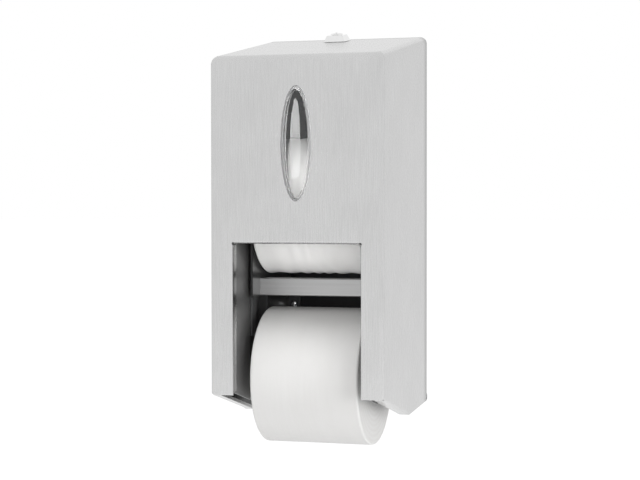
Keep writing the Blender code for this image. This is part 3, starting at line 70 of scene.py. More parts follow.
# Casing, as in the part's source
CASE_WIDTH = 0.162
CASE_DEPTH = 0.1635
FRONT_HEIGHT = 0.305
TOP_RISE = 0.0285
SHEET = 0.0012
WALL_GAP = 0.003
MOUNT_HEIGHT = 0.155
TOP_BEND = 0.0065
CORNER_BEND = 0.004
KEEL_BEND = 0.003
FOOT_BEND = 0.001
KEEL = (0.0923, -0.0239)
REAR_DROP = 0.0187
KEEL_FLANGE = 0.0095
KEEL_LIP = 0.003
KEEL_LIP_SETBACK = 0.002
BEND_FADE = 0.012
# How far forward from the rear edge the painted shade on the cover reaches
REAR_SHADE_REACH = 0.016
FOOT_SLIT = 0.0012
OPENING_HALF = 0.0593
OPENING_HEIGHT = 0.1369
OPENING_CORNER = 0.002
LIP_BEND = 0.0024
LIP_SIDE_BEND = 0.0010
LIP_DEPTH = 0.009
LIP_LIFT = 0.0035
RELIEF_RADIUS = 0.0013
FOOT_RELIEF_RADIUS = 0.0009
WINDOW_HALF_WIDTH = 0.0143
WINDOW_HALF_HEIGHT = 0.0515
WINDOW_HEIGHT = 0.2262
STUD_BEYOND_WINDOW = 0.0095
STUD_LENGTH = 0.008
STUD_RADIUS = 0.0015
HINGE_DEPTH = 0.1625
HINGE_DROP = 0.015
HINGE_LOBE = 0.0037
HINGE_PIN_RADIUS = 0.002
HINGE_HOLE_RADIUS = 0.00215
LOCK_SIDE = -0.003
LOCK_DEPTH = 0.142
LOCK_HOLE_RADIUS = 0.0073
PLATE = 0.0015
GAP = 0.0003

FRONT_TO_WALL = CASE_DEPTH + WALL_GAP
TOP_SLOPE = math.atan2(TOP_RISE, CASE_DEPTH)
INNER_SIDE = CASE_WIDTH / 2 - SHEET
OVERRUN = 0.010

# How finely the round shapes are drawn
BEND_STEPS = 8
ROUND_STEPS = 48
COARSE_STEPS = 24
FINE_STEPS = 144

SIDES = ((-1, "left"), (1, "right"))


def spot(depth, height):
    """The (y, z) of a place that is this far behind the front panel and over its foot."""
    return depth - FRONT_TO_WALL, height - MOUNT_HEIGHT


def top_height(depth):
    return FRONT_HEIGHT + depth * TOP_RISE / CASE_DEPTH


def keel_height(depth):
    """Height of the lower edge of the side panels at a depth."""
    marks = ((0, 0), KEEL, (CASE_DEPTH, -REAR_DROP))
    for (near, near_height), (far, far_height) in zip(marks, marks[1:]):
        if depth <= far:
            return near_height + (depth - near) / (far - near) * (far_height - near_height)
    return marks[-1][1]


def arc(centre, radius, start, end, steps=BEND_STEPS):
    """Points of an arc in a plane, angles in degrees."""
    points = []
    for step in range(steps + 1):
        angle = math.radians(start + (end - start) * step / steps)
        points.append((centre[0] + radius * math.cos(angle), centre[1] + radius * math.sin(angle)))
    return points


# Camera, studio and floor


def make_camera():
    camera = bpy.data.objects.new("camera", bpy.data.cameras.new("camera"))
    bpy.context.scene.collection.objects.link(camera)
    camera.data.sensor_width = SENSOR
    camera.data.lens = FOCAL_PIXELS / FRAME_PIXELS * SENSOR
    aim = Matrix.Rotation(CAMERA_TURN, 4, "Z")
    aim @= Matrix.Rotation(math.pi / 2 + CAMERA_TILT, 4, "X")
    aim @= Matrix.Rotation(CAMERA_ROLL, 4, "Z")
    place = (CAMERA_SIDE, *spot(CAMERA_DEPTH, CAMERA_HEIGHT))
    camera.matrix_world = Matrix.Translation(place) @ aim
    bpy.context.scene.camera = camera


class Field:
    """A number that varies over a surface. Python's operators add its Math nodes."""

    def __init__(self, finish, socket):
        self.finish = finish
        self.socket = socket

    def _with(self, operation, first, second):
        sides = {0: as_input(first), 1: as_input(second)}
        return self.finish.field("ShaderNodeMath", {"operation": operation}, sides)

    def __add__(self, other):
        return self._with("ADD", self, other)

    def __sub__(self, other):
        return self._with("SUBTRACT", self, other)

    def __mul__(self, other):
        return self._with("MULTIPLY", self, other)

    def __truediv__(self, other):
        return self._with("DIVIDE", self, other)

    def __rsub__(self, other):
        return self._with("SUBTRACT", other, self)

    __radd__ = __add__
    __rmul__ = __mul__

    def magnitude(self):
        return self._with("ABSOLUTE", self, 0)

    def root(self):
        return self._with("SQRT", self, 0)

    def wave(self):
        """The sine, moved and scaled to run from 0 to 1."""
        return self._with("SINE", self, 0) * 0.5 + 0.5

    def above(self, edge, softness):
        """0 below an edge and 1 above it, with a soft step between."""
        sides = {0: self.socket, 1: edge - softness, 2: edge + softness}
        return self.finish.field("ShaderNodeMapRange", {"interpolation_type": "SMOOTHSTEP"}, sides)


def as_input(value):
    return value.socket if isinstance(value, Field) else value


class Finish:
    """A node tree's builder: a material's, a lamp's or the world's."""

    def __init__(self, tree):
        self.tree = tree
        self.tree.nodes.clear()

    def node(self, kind, settings=None, inputs=None):
        """Adds a node: its settings first, then the values or links of its sockets."""
        node = self.tree.nodes.new(kind)
        for name, value in (settings or {}).items():
            setattr(node, name, value)
        for key, value in (inputs or {}).items():
            value = as_input(value)
            if isinstance(value, bpy.types.NodeSocket):
                self.tree.links.new(value, node.inputs[key])
            else:
                node.inputs[key].default_value = value
        return node

    def field(self, kind, settings=None, inputs=None, output=0):
        return Field(self, self.node(kind, settings, inputs).outputs[output])

    def parts(self, vector):
        """The x, y and z of a vector, as three fields."""
        split = self.node("ShaderNodeSeparateXYZ", None, {0: vector})
        return [Field(self, split.outputs[index]) for index in range(3)]

    def place(self, scale=(1, 1, 1)):
        """The place on the piece in metres, stretched by a scale along each axis."""
        here = self.node("ShaderNodeTexCoord").outputs["Object"]
        sides = {0: here, 1: scale}
        return self.node("ShaderNodeVectorMath", {"operation": "MULTIPLY"}, sides).outputs[0]

    def facing(self):
        """The x, y and z of the surface's direction, in the piece's own frame."""
        return self.parts(self.node("ShaderNodeTexCoord").outputs["Normal"])

    def noise(self, vector, scale=1.0, detail=2.0, roughness=0.5):
        sides = {"Vector": vector, "Scale": scale, "Detail": detail, "Roughness": roughness}
        return self.field("ShaderNodeTexNoise", None, sides)

    def blend(self, factor, first, second):
        """A colour between two colours."""
        sides = {"Factor": factor, 6: as_input(first), 7: as_input(second)}
        settings = {"data_type": "RGBA"}
        return self.node("ShaderNodeMix", settings, sides).outputs[2]

    def bump(self, height, distance, strength=1.0):
        sides = {"Height": height, "Distance": distance, "Strength": strength}
        return self.node("ShaderNodeBump", None, sides).outputs[0]

    def mix_shaders(self, factor, first, second):
        sides = {0: factor, 1: first.outputs[0], 2: second.outputs[0]}
        return self.node("ShaderNodeMixShader", None, sides)

    def glow(self, colour):
        return self.node("ShaderNodeEmission", None, {"Color": colour, "Strength": 1.0})

    def end_in(self, shader, kind="Material"):
        """Wires the last shader to the output of a material, a lamp or the world."""
        self.node(f"ShaderNodeOutput{kind}", None, {"Surface": shader.outputs[0]})


def grey(level):
    return (level, level, level, 1.0)


def toned(colour, factor):
    """A colour made darker or lighter, with its alpha."""
    return (*[min(1.0, part * factor) for part in colour], 1.0)


def looked_at(look):
    """1 for rays that see the background: straight, mirrored or through the window."""
    path = look.node("ShaderNodeLightPath")
    names = "Is Camera Ray", "Is Glossy Ray", "Is Transmission Ray"
    camera, glossy, through = [Field(look, path.outputs[name]) for name in names]
    return camera + glossy + through


WORLD_LEVEL = 1.0
WORLD_FOR_DIFFUSE = 0.40


def make_world():
    world = bpy.data.worlds.new("studio")
    bpy.context.scene.world = world
    world.use_nodes = True
    studio = Finish(world.node_tree)
    colour = studio.blend(looked_at(studio), grey(WORLD_FOR_DIFFUSE), grey(WORLD_LEVEL))
    studio.end_in(studio.node("ShaderNodeBackground", None, {"Color": colour, "Strength": 1.0}), "World")


FLOOR_DROP = 0.16
FLOOR_HALF = 30.0
FLOOR_LEVEL = 0.90
FLOOR_FOR_DIFFUSE = 0.50
FLOOR_TONE = 0.28


def make_floor():
    """A pale floor under the dispenser, which keeps its shadow. From below it isn't there."""
    shape = bmesh.new()
    bmesh.ops.create_grid(shape, x_segments=1, y_segments=1, size=FLOOR_HALF)
    mesh = bpy.data.meshes.new("floor")
    shape.to_mesh(mesh)
    shape.free()
    floor = new_piece("floor", mesh)
    floor.location.z = CAD_BOX[0].z - FLOOR_DROP
    material, look = new_finish("pale_floor")
    glow = look.glow(look.blend(looked_at(look), grey(FLOOR_FOR_DIFFUSE), grey(FLOOR_LEVEL)))
    matt = look.node("ShaderNodeBsdfDiffuse", None, {"Color": grey(FLOOR_TONE)})
    both = look.node("ShaderNodeAddShader", None, {0: glow.outputs[0], 1: matt.outputs[0]})
    under = look.node("ShaderNodeNewGeometry").outputs["Backfacing"]
    look.end_in(look.mix_shaders(under, both, look.node("ShaderNodeBsdfTransparent")))
    mesh.materials.append(material)


# Each lamp: name, place, size, power in watts. All aim at the middle of the dispenser.
LAMPS = (
    ("front_softbox", (0.0, -2.0, 0.20), 1.0, 5.0),
    ("right_fill", (1.6, -1.0, -0.1), 1.2, 17.0),
    ("end_fill", (0.60, -0.18, -0.34), 0.2, 0.35),
    ("top_softbox", (0.15, -0.60, 1.6), 1.2, 18.0),
)
# A narrow lamp that reaches in through the window
SNOOT_PLACE = (0.451, -1.6, 0.50)
SNOOT_ANGLE = math.radians(4.4)
SNOOT_POWER = 64.0
# Another that reaches the reserve roll's underside through the opening
LOW_SNOOT_PLACE = (0.0, -0.80, -0.33)
LOW_SNOOT_ANGLE = math.radians(9.0)
LOW_SNOOT_POWER = 6.0
SNOOT_EDGE = 0.3
SNOOT_RADIUS = 0.05
# A broad oval lamp that only the window mirrors. It is dimmer up to a share of its height, and
# the step there has a softness.
MIRRORED_PLACE = (-0.34, -2.2, 0.07)
MIRRORED_SIZE = (2.5, 1.74)
MIRRORED_POWER = 130.0
MIRRORED_DIM = 0.34
MIRRORED_STEP = (0.58, 0.05)
# A round lamp that only the guides' screws mirror
SPARK_PLACE = (0.30, -1.55, 0.08)
SPARK_SIZE = 0.8
SPARK_POWER = 14.0


def add_lamp(name, kind, place, target, power, settings):
    data = bpy.data.lights.new(name, kind)
    data.energy = power
    for key, value in settings.items():
        setattr(data, key, value)
    lamp = bpy.data.objects.new(name, data)
    bpy.context.scene.collection.objects.link(lamp)
    lamp.location = place
    lamp.rotation_euler = (Vector(target) - Vector(place)).to_track_quat("-Z", "Y").to_euler()
    lamp.visible_glossy = False
    lamp.visible_camera = False
    lamp.visible_transmission = False
    return lamp


def make_lamps():
    for name, place, size, power in LAMPS:
        add_lamp(name, "AREA", place, (0, 0, 0), power, {"shape": "DISK", "size": size})
    snoot = {"spot_blend": SNOOT_EDGE, "shadow_soft_size": SNOOT_RADIUS, "spot_size": SNOOT_ANGLE}
    window = (0, *spot(0, WINDOW_HEIGHT))
    add_lamp("window_snoot", "SPOT", SNOOT_PLACE, window, SNOOT_POWER, snoot)
    snoot["spot_size"] = LOW_SNOOT_ANGLE
    under = (0, *spot(ROLL_DEPTH / 2, OPENING_HEIGHT - LIP_DEPTH * 2))
    add_lamp("low_snoot", "SPOT", LOW_SNOOT_PLACE, under, LOW_SNOOT_POWER, snoot)


def mirror_only_in(lamp, pieces):
    """Lets a lamp light, and be mirrored by, these pieces alone."""
    lamp.visible_glossy = True
    only = bpy.data.collections.new(f"lit_by_{lamp.name}")
    for piece in pieces:
        only.objects.link(piece)
    lamp.light_linking.receiver_collection = only


def light_window(lens):
    """The broad lamp whose reflection stands in the window."""
    window = (0, *spot(0, WINDOW_HEIGHT))
    wide, tall = MIRRORED_SIZE
    shape = {"shape": "ELLIPSE", "size": wide, "size_y": tall}
    lamp = add_lamp("mirrored_oval", "AREA", MIRRORED_PLACE, window, MIRRORED_POWER, shape)
    lamp.data.use_nodes = True
    look = Finish(lamp.data.node_tree)
    rise = look.parts(look.node("ShaderNodeNewGeometry").outputs["Parametric"])[1]
    colour = look.blend(rise.above(*MIRRORED_STEP), grey(MIRRORED_DIM), grey(1.0))
    look.end_in(look.glow(colour), "Light")
    mirror_only_in(lamp, [lens])


def light_screws(screws):
    shape = {"shape": "DISK", "size": SPARK_SIZE}
    target = (-TAB_SIDE, *spot(TAB_SEAT, TAB_HEIGHTS["lower"]))
    mirror_only_in(add_lamp("screw_spark", "AREA", SPARK_PLACE, target, SPARK_POWER, shape), screws)


# Finishes


def new_finish(name):
    material = bpy.data.materials.new(name)
    material.use_nodes = True
    return material, Finish(material.node_tree)


def finish_with(look, sockets):
    """Ends a material in its Principled shader."""
    look.end_in(look.node("ShaderNodeBsdfPrincipled", None, sockets))


# How far the painted shade on the sheet takes its colour towards black, as shares of 1
LIP_SHADE = 0.42
INSIDE_SHADE = 0.6
INSIDE_LOW_SHADE = 0.4
REAR_SHADE = 0.35
ARM_EDGE_SHADE = 0.85
# How dark the painted shade's black is, as a share of the sheet's tone
DARKEST_SHADE = 0.01


def sheet_shade(look):
    """How far the cover's sheet is darkened by painted shade, 0 to 1: on the opening's lips, on its
    inner side, most low down and on the flange tops there, and along its rear edge.
    """
    x, y, z = look.parts(look.place())
    depth, height = y + FRONT_TO_WALL, z + MOUNT_HEIGHT
    beside = x.magnitude()
    # Painted shade on the opening's lips, where they turn in beside the liners
    lip = 1 - beside.above(OPENING_HALF + LIP_SIDE_BEND * 0.6, LIP_SIDE_BEND * 0.3)
    lip = lip * (1 - height.above(OPENING_HEIGHT + LIP_BEND * 0.6, LIP_BEND * 0.2))
    lip = lip * (1 - depth.above(LIP_DEPTH * 0.4, LIP_DEPTH * 0.1))
    # Painted shade on the sheet's inner side, deeper low down, and on the flange tops inside
    inward = 1 - (x * look.facing()[0]).above(-CASE_WIDTH / 4, CASE_WIDTH / 8)
    inside = beside.above(INNER_SIDE - SHEET, SHEET / 4) * inward
    low = 1 - height.above(0, SHEET)
    flange_top = look.facing()[2].above(0.3, 0.1) * low
    # Painted shade along the rear edge
    rear = depth.above(CASE_DEPTH - REAR_SHADE_REACH / 2, REAR_SHADE_REACH / 2)
    inside = inside * (low * INSIDE_LOW_SHADE + INSIDE_SHADE)
    return lip * LIP_SHADE + inside + flange_top + rear * REAR_SHADE


def gate_shade(look):
    """Painted shade on the cut front edges of the gate's arms, 0 to 1."""
    depth = look.parts(look.place())[1] + FRONT_TO_WALL
    return (1 - depth.above(GATE_NOSE_DEPTH + GATE_SHEET / 2, GATE_SHEET / 4)) * ARM_EDGE_SHADE


STREAKS_IN_TONE, CLOUDS_IN_TONE = 1.6, 0.9
STREAKS_IN_ROUGHNESS, CLOUDS_IN_ROUGHNESS = 0.08, 0.03
CLOUD_SCALE = 22.0
BRUSHING = 0.85
BRUSH_DEPTH, BRUSH_STRENGTH = 0.00002, 0.35


def brushed_steel(name, tone, roughness, grain, painted_shade, spread, coarse, along):
    """Brushed sheet: fine streaks along the grain's axis, X, Y or Z, and faint clouds, with painted
    shade where a given function darkens the colour.
    """
    material, look = new_finish(name)
    stretch = [coarse, coarse, coarse]
    stretch["XYZ".index(grain)] = along
    streaks = look.noise(look.place(stretch), detail=3.0, roughness=0.6)
    if grain == "Z":
        # The top panel's grain runs from front to back
        lying = look.facing()[2].above(0.6, 0.1)
        flat = look.noise(look.place((coarse, along, coarse)), detail=3.0, roughness=0.6)
        streaks = streaks + (flat - streaks) * lying
    clouds = look.noise(look.place(), scale=CLOUD_SCALE, detail=3.0)
    streak, cloud = streaks - 0.5, clouds - 0.5
    shade = streak * STREAKS_IN_TONE + cloud * CLOUDS_IN_TONE + 0.5
    colour = look.blend(shade, grey(tone * (1 - spread)), grey(tone * (1 + spread)))
    sockets = {
        # Painted shade: the colour goes towards black as far as the shade function says
        "Base Color": look.blend(painted_shade(look), colour, grey(tone * DARKEST_SHADE)),
        "Metallic": 1.0,
        "Roughness": streak * STREAKS_IN_ROUGHNESS + cloud * CLOUDS_IN_ROUGHNESS + roughness,
        "Anisotropic": BRUSHING,
        "Normal": look.bump(streaks, BRUSH_DEPTH, BRUSH_STRENGTH),
    }
    shader = look.node("ShaderNodeBsdfPrincipled", None, sockets)
    if grain == "Z":
        sockets["Anisotropic"] = 0.0
        even = look.node("ShaderNodeBsdfPrincipled", None, sockets)
        shader = look.mix_shaders(lying, shader, even)
    look.end_in(shader)
    return material


MARK_SCALE = 260.0
MARKS_IN_ROUGHNESS = 0.10


def smooth_metal(name, tone, roughness, tint=(1, 1, 1), metallic=1.0):
    """Plated or polished metal with faint handling marks."""
    material, look = new_finish(name)
    marks = look.noise(look.place(), scale=MARK_SCALE, detail=4.0, roughness=0.6)
    colour = [tone * part for part in tint]
    sockets = {
        "Base Color": look.blend(marks, toned(colour, 0.94), toned(colour, 1.05)),
        "Metallic": metallic,
        "Roughness": (marks - 0.5) * MARKS_IN_ROUGHNESS + roughness,
    }
    finish_with(look, sockets)
    return material


GRAIN_SCALE, GRAIN_DEPTH, GRAIN_STRENGTH = 900.0, 0.00003, 0.4
FLOW_SCALE = 60.0
GRAIN_IN_ROUGHNESS, FLOW_IN_ROUGHNESS = 0.12, 0.06


def moulded_plastic(name, colour, roughness):
    """Moulded plastic with the fine grain of its tool and soft flow marks."""
    material, look = new_finish(name)
    fine = look.noise(look.place(), scale=GRAIN_SCALE)
    flow = look.noise(look.place((1, 1, 0.3)), scale=FLOW_SCALE)
    sockets = {
        "Base Color": look.blend(flow, toned(colour, 0.85), toned(colour, 1.15)),
        "Roughness": (fine - 0.5) * GRAIN_IN_ROUGHNESS + (flow - 0.5) * FLOW_IN_ROUGHNESS + roughness,
        "Normal": look.bump(fine, GRAIN_DEPTH, GRAIN_STRENGTH),
    }
    finish_with(look, sockets)
    return material


# The frosted rim starts at about the dome's edge, where the squares of the shares of the way
# out, across and up, come to 1. It has a softness.
RIM_FROST = (1.06, 0.06)
RIM_ROUGHNESS = 0.4
DOME_ROUGHNESS = 0.03
HAZE_IN_ROUGHNESS = 0.03
HAZE_SCALE = 120.0
GLAZING_TINT = (0.97, 0.975, 0.975, 1.0)
GLAZING_IOR = 1.47
PASSING_LEVEL = 0.98


def clear_plastic(name):
    material, look = new_finish(name)
    haze = look.noise(look.place(), scale=HAZE_SCALE, detail=3.0)
    x, _, z = look.parts(look.place())
    across = x / (WINDOW_HALF_WIDTH - GAP - LENS_RIM)
    up = (z + (MOUNT_HEIGHT - WINDOW_HEIGHT)) / (WINDOW_HALF_HEIGHT - GAP - LENS_RIM)
    rim = (across * across + up * up).above(*RIM_FROST)
    sockets = {
        "Base Color": GLAZING_TINT,
        "Roughness": (haze - 0.5) * HAZE_IN_ROUGHNESS + DOME_ROUGHNESS + rim * RIM_ROUGHNESS,
        "Transmission Weight": 1.0,
        "IOR": GLAZING_IOR,
    }
    shader = look.node("ShaderNodeBsdfPrincipled", None, sockets)
    # Light that only passes through on its way to the roll isn't held back
    path = look.node("ShaderNodeLightPath")
    passing = Field(look, path.outputs["Is Shadow Ray"]) + Field(look, path.outputs["Is Diffuse Ray"])
    clear = look.node("ShaderNodeBsdfTransparent", None, {"Color": grey(PASSING_LEVEL)})
    look.end_in(look.mix_shaders(passing, shader, clear))
    return material


PAPER_DARK = (0.800, 0.790, 0.775, 1.0)
PAPER_LIGHT = (0.875, 0.872, 0.865, 1.0)
# On a roll's ends the edges of the layers run in rings, and broader bundles of them show too
BUNDLE_SHARE = 0.117
LAYER_WANDER = 0.0012
WANDER_SCALE = 45.0
PAPER_CLOUD_SCALE = 30.0
# How finely the crepe and the crinkles repeat along X, Y and Z, per metre
CREPE = (700, 1500, 1500)
CRINKLE = (110, 16, 16)
CREPE_DEPTH, CREPE_STRENGTH = 0.00012, 0.5


def tissue(name, axis_height):
    """Wound tissue: soft crepe on the outer wrap, and the edges of its layers on the ends."""
    material, look = new_finish(name)
    axis_y, axis_z = spot(ROLL_DEPTH, axis_height)
    _, y, z = look.parts(look.place())
    across, up = y - axis_y, z - axis_z
    radius = (across * across + up * up).root()
    ends = look.facing()[0].magnitude().above(0.6, 0.15)
    wander = look.noise(look.place(), scale=WANDER_SCALE)
    turns = (radius + wander * LAYER_WANDER) * (2 * math.pi / LAYER_PITCH)
    layers, bundles = turns.wave(), (turns * BUNDLE_SHARE).wave()
    crepe = look.noise(look.place(CREPE), detail=3.0, roughness=0.65)
    crinkle = look.noise(look.place(CRINKLE))
    cloud = look.noise(look.place(), scale=PAPER_CLOUD_SCALE, detail=3.0)
    end_tone = layers * 0.55 + bundles * 0.45
    wrap_tone = crepe * 0.35 + cloud * 0.3 + crinkle * 0.35
    shade = wrap_tone + (end_tone - wrap_tone) * ends
    soft = crepe + crinkle * 6
    height = soft + (layers * 1.5 + bundles - soft) * ends
    sockets = {
        "Base Color": look.blend(shade, PAPER_DARK, PAPER_LIGHT),
        "Roughness": crepe * 0.1 + 0.85,
        "Normal": look.bump(height, CREPE_DEPTH, CREPE_STRENGTH),
        "Sheen Weight": 0.15,
        "Specular IOR Level": 0.2,
    }
    finish_with(look, sockets)
    return material


CARD_DARK = (0.36, 0.28, 0.20, 1.0)
CARD_LIGHT = (0.50, 0.41, 0.30, 1.0)
FIBRE = (500, 1400, 1400)
FIBRE_DEPTH, FIBRE_STRENGTH = 0.0001, 0.5


def cardboard(name):
    material, look = new_finish(name)
    fibre = look.noise(look.place(FIBRE), detail=4.0, roughness=0.7)
    sockets = {
        "Base Color": look.blend(fibre, CARD_DARK, CARD_LIGHT),
        "Roughness": fibre * 0.1 + 0.82,
        "Normal": look.bump(fibre, FIBRE_DEPTH, FIBRE_STRENGTH),
    }
    finish_with(look, sockets)
    return material


# Shapes


def new_piece(name, mesh):
    obj = bpy.data.objects.new(name, mesh)
    bpy.context.scene.collection.objects.link(obj)
    return obj


def from_bmesh(name, shape):
    bmesh.ops.recalc_face_normals(shape, faces=shape.faces)
    mesh = bpy.data.meshes.new(name)
    shape.to_mesh(mesh)
    shape.free()
    return new_piece(name, mesh)


def prism(name, rings, endless=False):
    """A solid through rings of points, each with as many points: capped, or joined end to end."""
    shape = bmesh.new()
    loops = [[shape.verts.new(point) for point in ring] for ring in rings]
    if endless:
        loops.append(loops[0])
    count = len(rings[0])
    for first, second in zip(loops, loops[1:]):
        for index in range(count):
            after = (index + 1) % count
            shape.faces.new((first[index], first[after], second[after], second[index]))
    if not endless:
        shape.faces.new(loops[0])
        shape.faces.new(loops[-1])
    return from_bmesh(name, shape)


def box(name, low, high):
    shape = bmesh.new()
    bmesh.ops.create_cube(shape, size=1)
    low, high = Vector(low), Vector(high)
    bmesh.ops.scale(shape, vec=high - low, verts=shape.verts)
    bmesh.ops.translate(shape, vec=(low + high) / 2, verts=shape.verts)
    return from_bmesh(name, shape)


def rod(name, radius, start, end, steps=ROUND_STEPS):
    start, end = Vector(start), Vector(end)
    shape = bmesh.new()
    sizes = {"radius1": radius, "radius2": radius, "depth": (end - start).length}
    bmesh.ops.create_cone(shape, cap_ends=True, segments=steps, **sizes)
    turn = (end - start).to_track_quat("Z", "Y").to_matrix().to_4x4()
    place = Matrix.Translation((start + end) / 2) @ turn
    bmesh.ops.transform(shape, matrix=place, verts=shape.verts)
    return from_bmesh(name, shape)


def rod_to_wall(name, radius, x, height, near, far, steps=COARSE_STEPS):
    """A rod along Y between two depths."""
    return rod(name, radius, (x, *spot(near, height)), (x, *spot(far, height)), steps)


def side_plate(name, outline, x_low, x_high):
    """A plate parallel to the side panels. The outline is in (depth, height)."""
    return prism(name, [[(x, *spot(*point)) for point in outline] for x in (x_low, x_high)])


def turned(name, profile, steps=ROUND_STEPS):
    """A profile of (radius, height) pairs turned round Z. The profile's ends are closed."""
    shape = bmesh.new()
    turns = [2 * math.pi * step / steps for step in range(steps)]
    rings = []
    for radius, height in profile:
        ring = [(radius * math.cos(turn), radius * math.sin(turn), height) for turn in turns]
        rings.append([shape.verts.new(point) for point in (ring if radius else ring[:1])])
    pairs = list(zip(rings, rings[1:]))
    if len(rings[0]) > 1:
        pairs.append((rings[-1], rings[0]))
    for first, second in pairs:
        for step in range(steps):
            after = (step + 1) % steps
            corners = [first[step % len(first)], first[after % len(first)]]
            corners += [second[after % len(second)], second[step % len(second)]]
            face = list(dict.fromkeys(corners))
            if len(face) > 2:
                shape.faces.new(face)
    return from_bmesh(name, shape)


def lay_along_x(obj, x, side, depth, height):
    """Points a turned piece's +Z outwards along X, on the left (-1) or right (+1)."""
    place = Matrix.Translation((side * x, *spot(depth, height)))
    obj.data.transform(place @ Matrix.Rotation(side * math.pi / 2, 4, "Y"))
    return obj


def lay_along_y(obj, x, depth, height):
    """Points a turned piece's +Z out of the front."""
    place = Matrix.Translation((x, *spot(depth, height)))
    obj.data.transform(place @ Matrix.Rotation(math.pi / 2, 4, "X"))
    return obj


def combine(obj, other, operation):
    modifier = obj.modifiers.new(other.name, "BOOLEAN")
    modifier.operation = operation
    modifier.object = other
    modifier.solver = "EXACT"
    return obj


def cut(obj, *others):
    for other in others:
        combine(obj, other, "DIFFERENCE")
    return obj


def join(obj, *others):
    for other in others:
        combine(obj, other, "UNION")
    return obj


def soften(obj, width, steps=2, angle=35):
    """Breaks the sharp edges of a piece."""
    edge = obj.modifiers.new("broken_edges", "BEVEL")
    edge.width = width
    edge.segments = steps
    edge.limit_method = "ANGLE"
    edge.angle_limit = math.radians(angle)
    return obj


def settle(obj):
    """Applies a piece's modifiers, and removes what they cut with."""
    bpy.context.view_layer.update()
    graph = bpy.context.evaluated_depsgraph_get()
    mesh = bpy.data.meshes.new_from_object(obj.evaluated_get(graph))
    tools = [modifier.object for modifier in obj.modifiers if modifier.type == "BOOLEAN"]
    obj.modifiers.clear()
    obj.data = mesh
    mesh.materials.clear()
    for tool in tools:
        settle_tools(tool)
        bpy.data.objects.remove(tool)
    return obj


def settle_tools(obj):
    for modifier in obj.modifiers:
        if modifier.type == "BOOLEAN":
            settle_tools(modifier.object)
            bpy.data.objects.remove(modifier.object)


def dress(obj, material, body, slot, *nodes, angle=30):
    """Smooths a finished piece, gives it its material and its body, and hides the CAD nodes it stands
    for.
    """
    settle(obj)
    obj.data.materials.append(material)
    obj.data.shade_smooth()
    obj.data.set_sharp_from_angle(angle=math.radians(angle))
    weigh = obj.modifiers.new("even_normals", "WEIGHTED_NORMAL")
    weigh.keep_sharp = True
    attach(obj, body)
    if nodes:
        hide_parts(*nodes)
    return obj


# The folded cover


def case_outline(rear_depth):
    return [(0, 0), (0, FRONT_HEIGHT), (rear_depth, top_height(rear_depth))]


def case_prism(name, outline, half_width, side_bends, cross_bends):
    """The outline drawn out across the width, with its own bend radius on each edge."""
    shape = bmesh.new()
    weight = shape.edges.layers.float.new("bevel_weight_edge")
    sides = []
    for x in (-half_width, half_width):
        sides.append([shape.verts.new((x, *spot(*point))) for point in outline])
    count = len(outline)
    for index in range(count):
        after = (index + 1) % count
        shape.faces.new((sides[0][index], sides[0][after], sides[1][after], sides[1][index]))
    for side in sides:
        shape.faces.new(side)
    widest = max(side_bends + cross_bends)
    for index in range(count):
        after = (index + 1) % count
        for side in sides:
            shape.edges.get((side[index], side[after]))[weight] = side_bends[index] / widest
        edge = shape.edges.get((sides[0][index], sides[1][index]))
        edge[weight] = cross_bends[index] / widest
    obj = from_bmesh(name, shape)
    bend = obj.modifiers.new("bends", "BEVEL")
    bend.limit_method = "WEIGHT"
    bend.width = widest
    bend.segments = BEND_STEPS
    return obj


def inset(outline, distance):
    """A convex outline moved inwards, edge by edge."""
    count = len(outline)
    middle = Vector((sum(p[0] for p in outline) / count, sum(p[1] for p in outline) / count))
    lines = []
    for index in range(count):
        start = Vector(outline[index])
        along = (Vector(outline[(index + 1) % count]) - start).normalized()
        normal = Vector((-along.y, along.x))
        if normal.dot(middle - start) < 0:
            normal = -normal
        lines.append((start + normal * distance, along))
    points = []
    for index in range(count):
        (start, along), (other, across) = lines[index - 1], lines[index]
        offset = other - start
        share = (offset.x * across.y - offset.y * across.x) / along.cross(across)
        points.append(tuple(start + along * share))
    return points


def opening_cutter():
    """The opening with its front edge flared, as the folded lip is rounded."""
    foot = KEEL[1] - OVERRUN

    def ring(depth, flare):
        half, top = OPENING_HALF + LIP_SIDE_BEND * flare, OPENING_HEIGHT + LIP_BEND * flare
        corner = OPENING_CORNER + LIP_SIDE_BEND * flare
        outline = [(-half, foot), (half, foot)]
        outline += arc((half - corner, top - corner), corner, 0, 90)
        outline += arc((corner - half, top - corner), corner, 90, 180)
        return [(x, *spot(depth, height)) for x, height in outline]

    rings = [ring(-OVERRUN, 1)]
    for step in range(BEND_STEPS + 1):
        angle = math.pi / 2 * step / BEND_STEPS
        rings.append(ring(LIP_BEND * (1 - math.cos(angle)), 1 - math.sin(angle)))
    rings.append(ring(LIP_DEPTH + OVERRUN, 0))
    return prism("opening_cutter", rings)


def ellipse(half_width, half_height, depth):
    ring = []
    for step in range(FINE_STEPS):
        angle = 2 * math.pi * step / FINE_STEPS
        height = WINDOW_HEIGHT + half_height * math.sin(angle)
        ring.append((half_width * math.cos(angle), *spot(depth, height)))
    return ring


def window_ring(margin, depth):
    return ellipse(WINDOW_HALF_WIDTH + margin, WINDOW_HALF_HEIGHT + margin, depth)


def lock_frame():
    """The lock's own frame: its origin on the top panel, its Z square to the panel."""
    y, z = spot(LOCK_DEPTH, top_height(LOCK_DEPTH))
    return Matrix.Translation((LOCK_SIDE, y, z)) @ Matrix.Rotation(TOP_SLOPE, 4, "X")


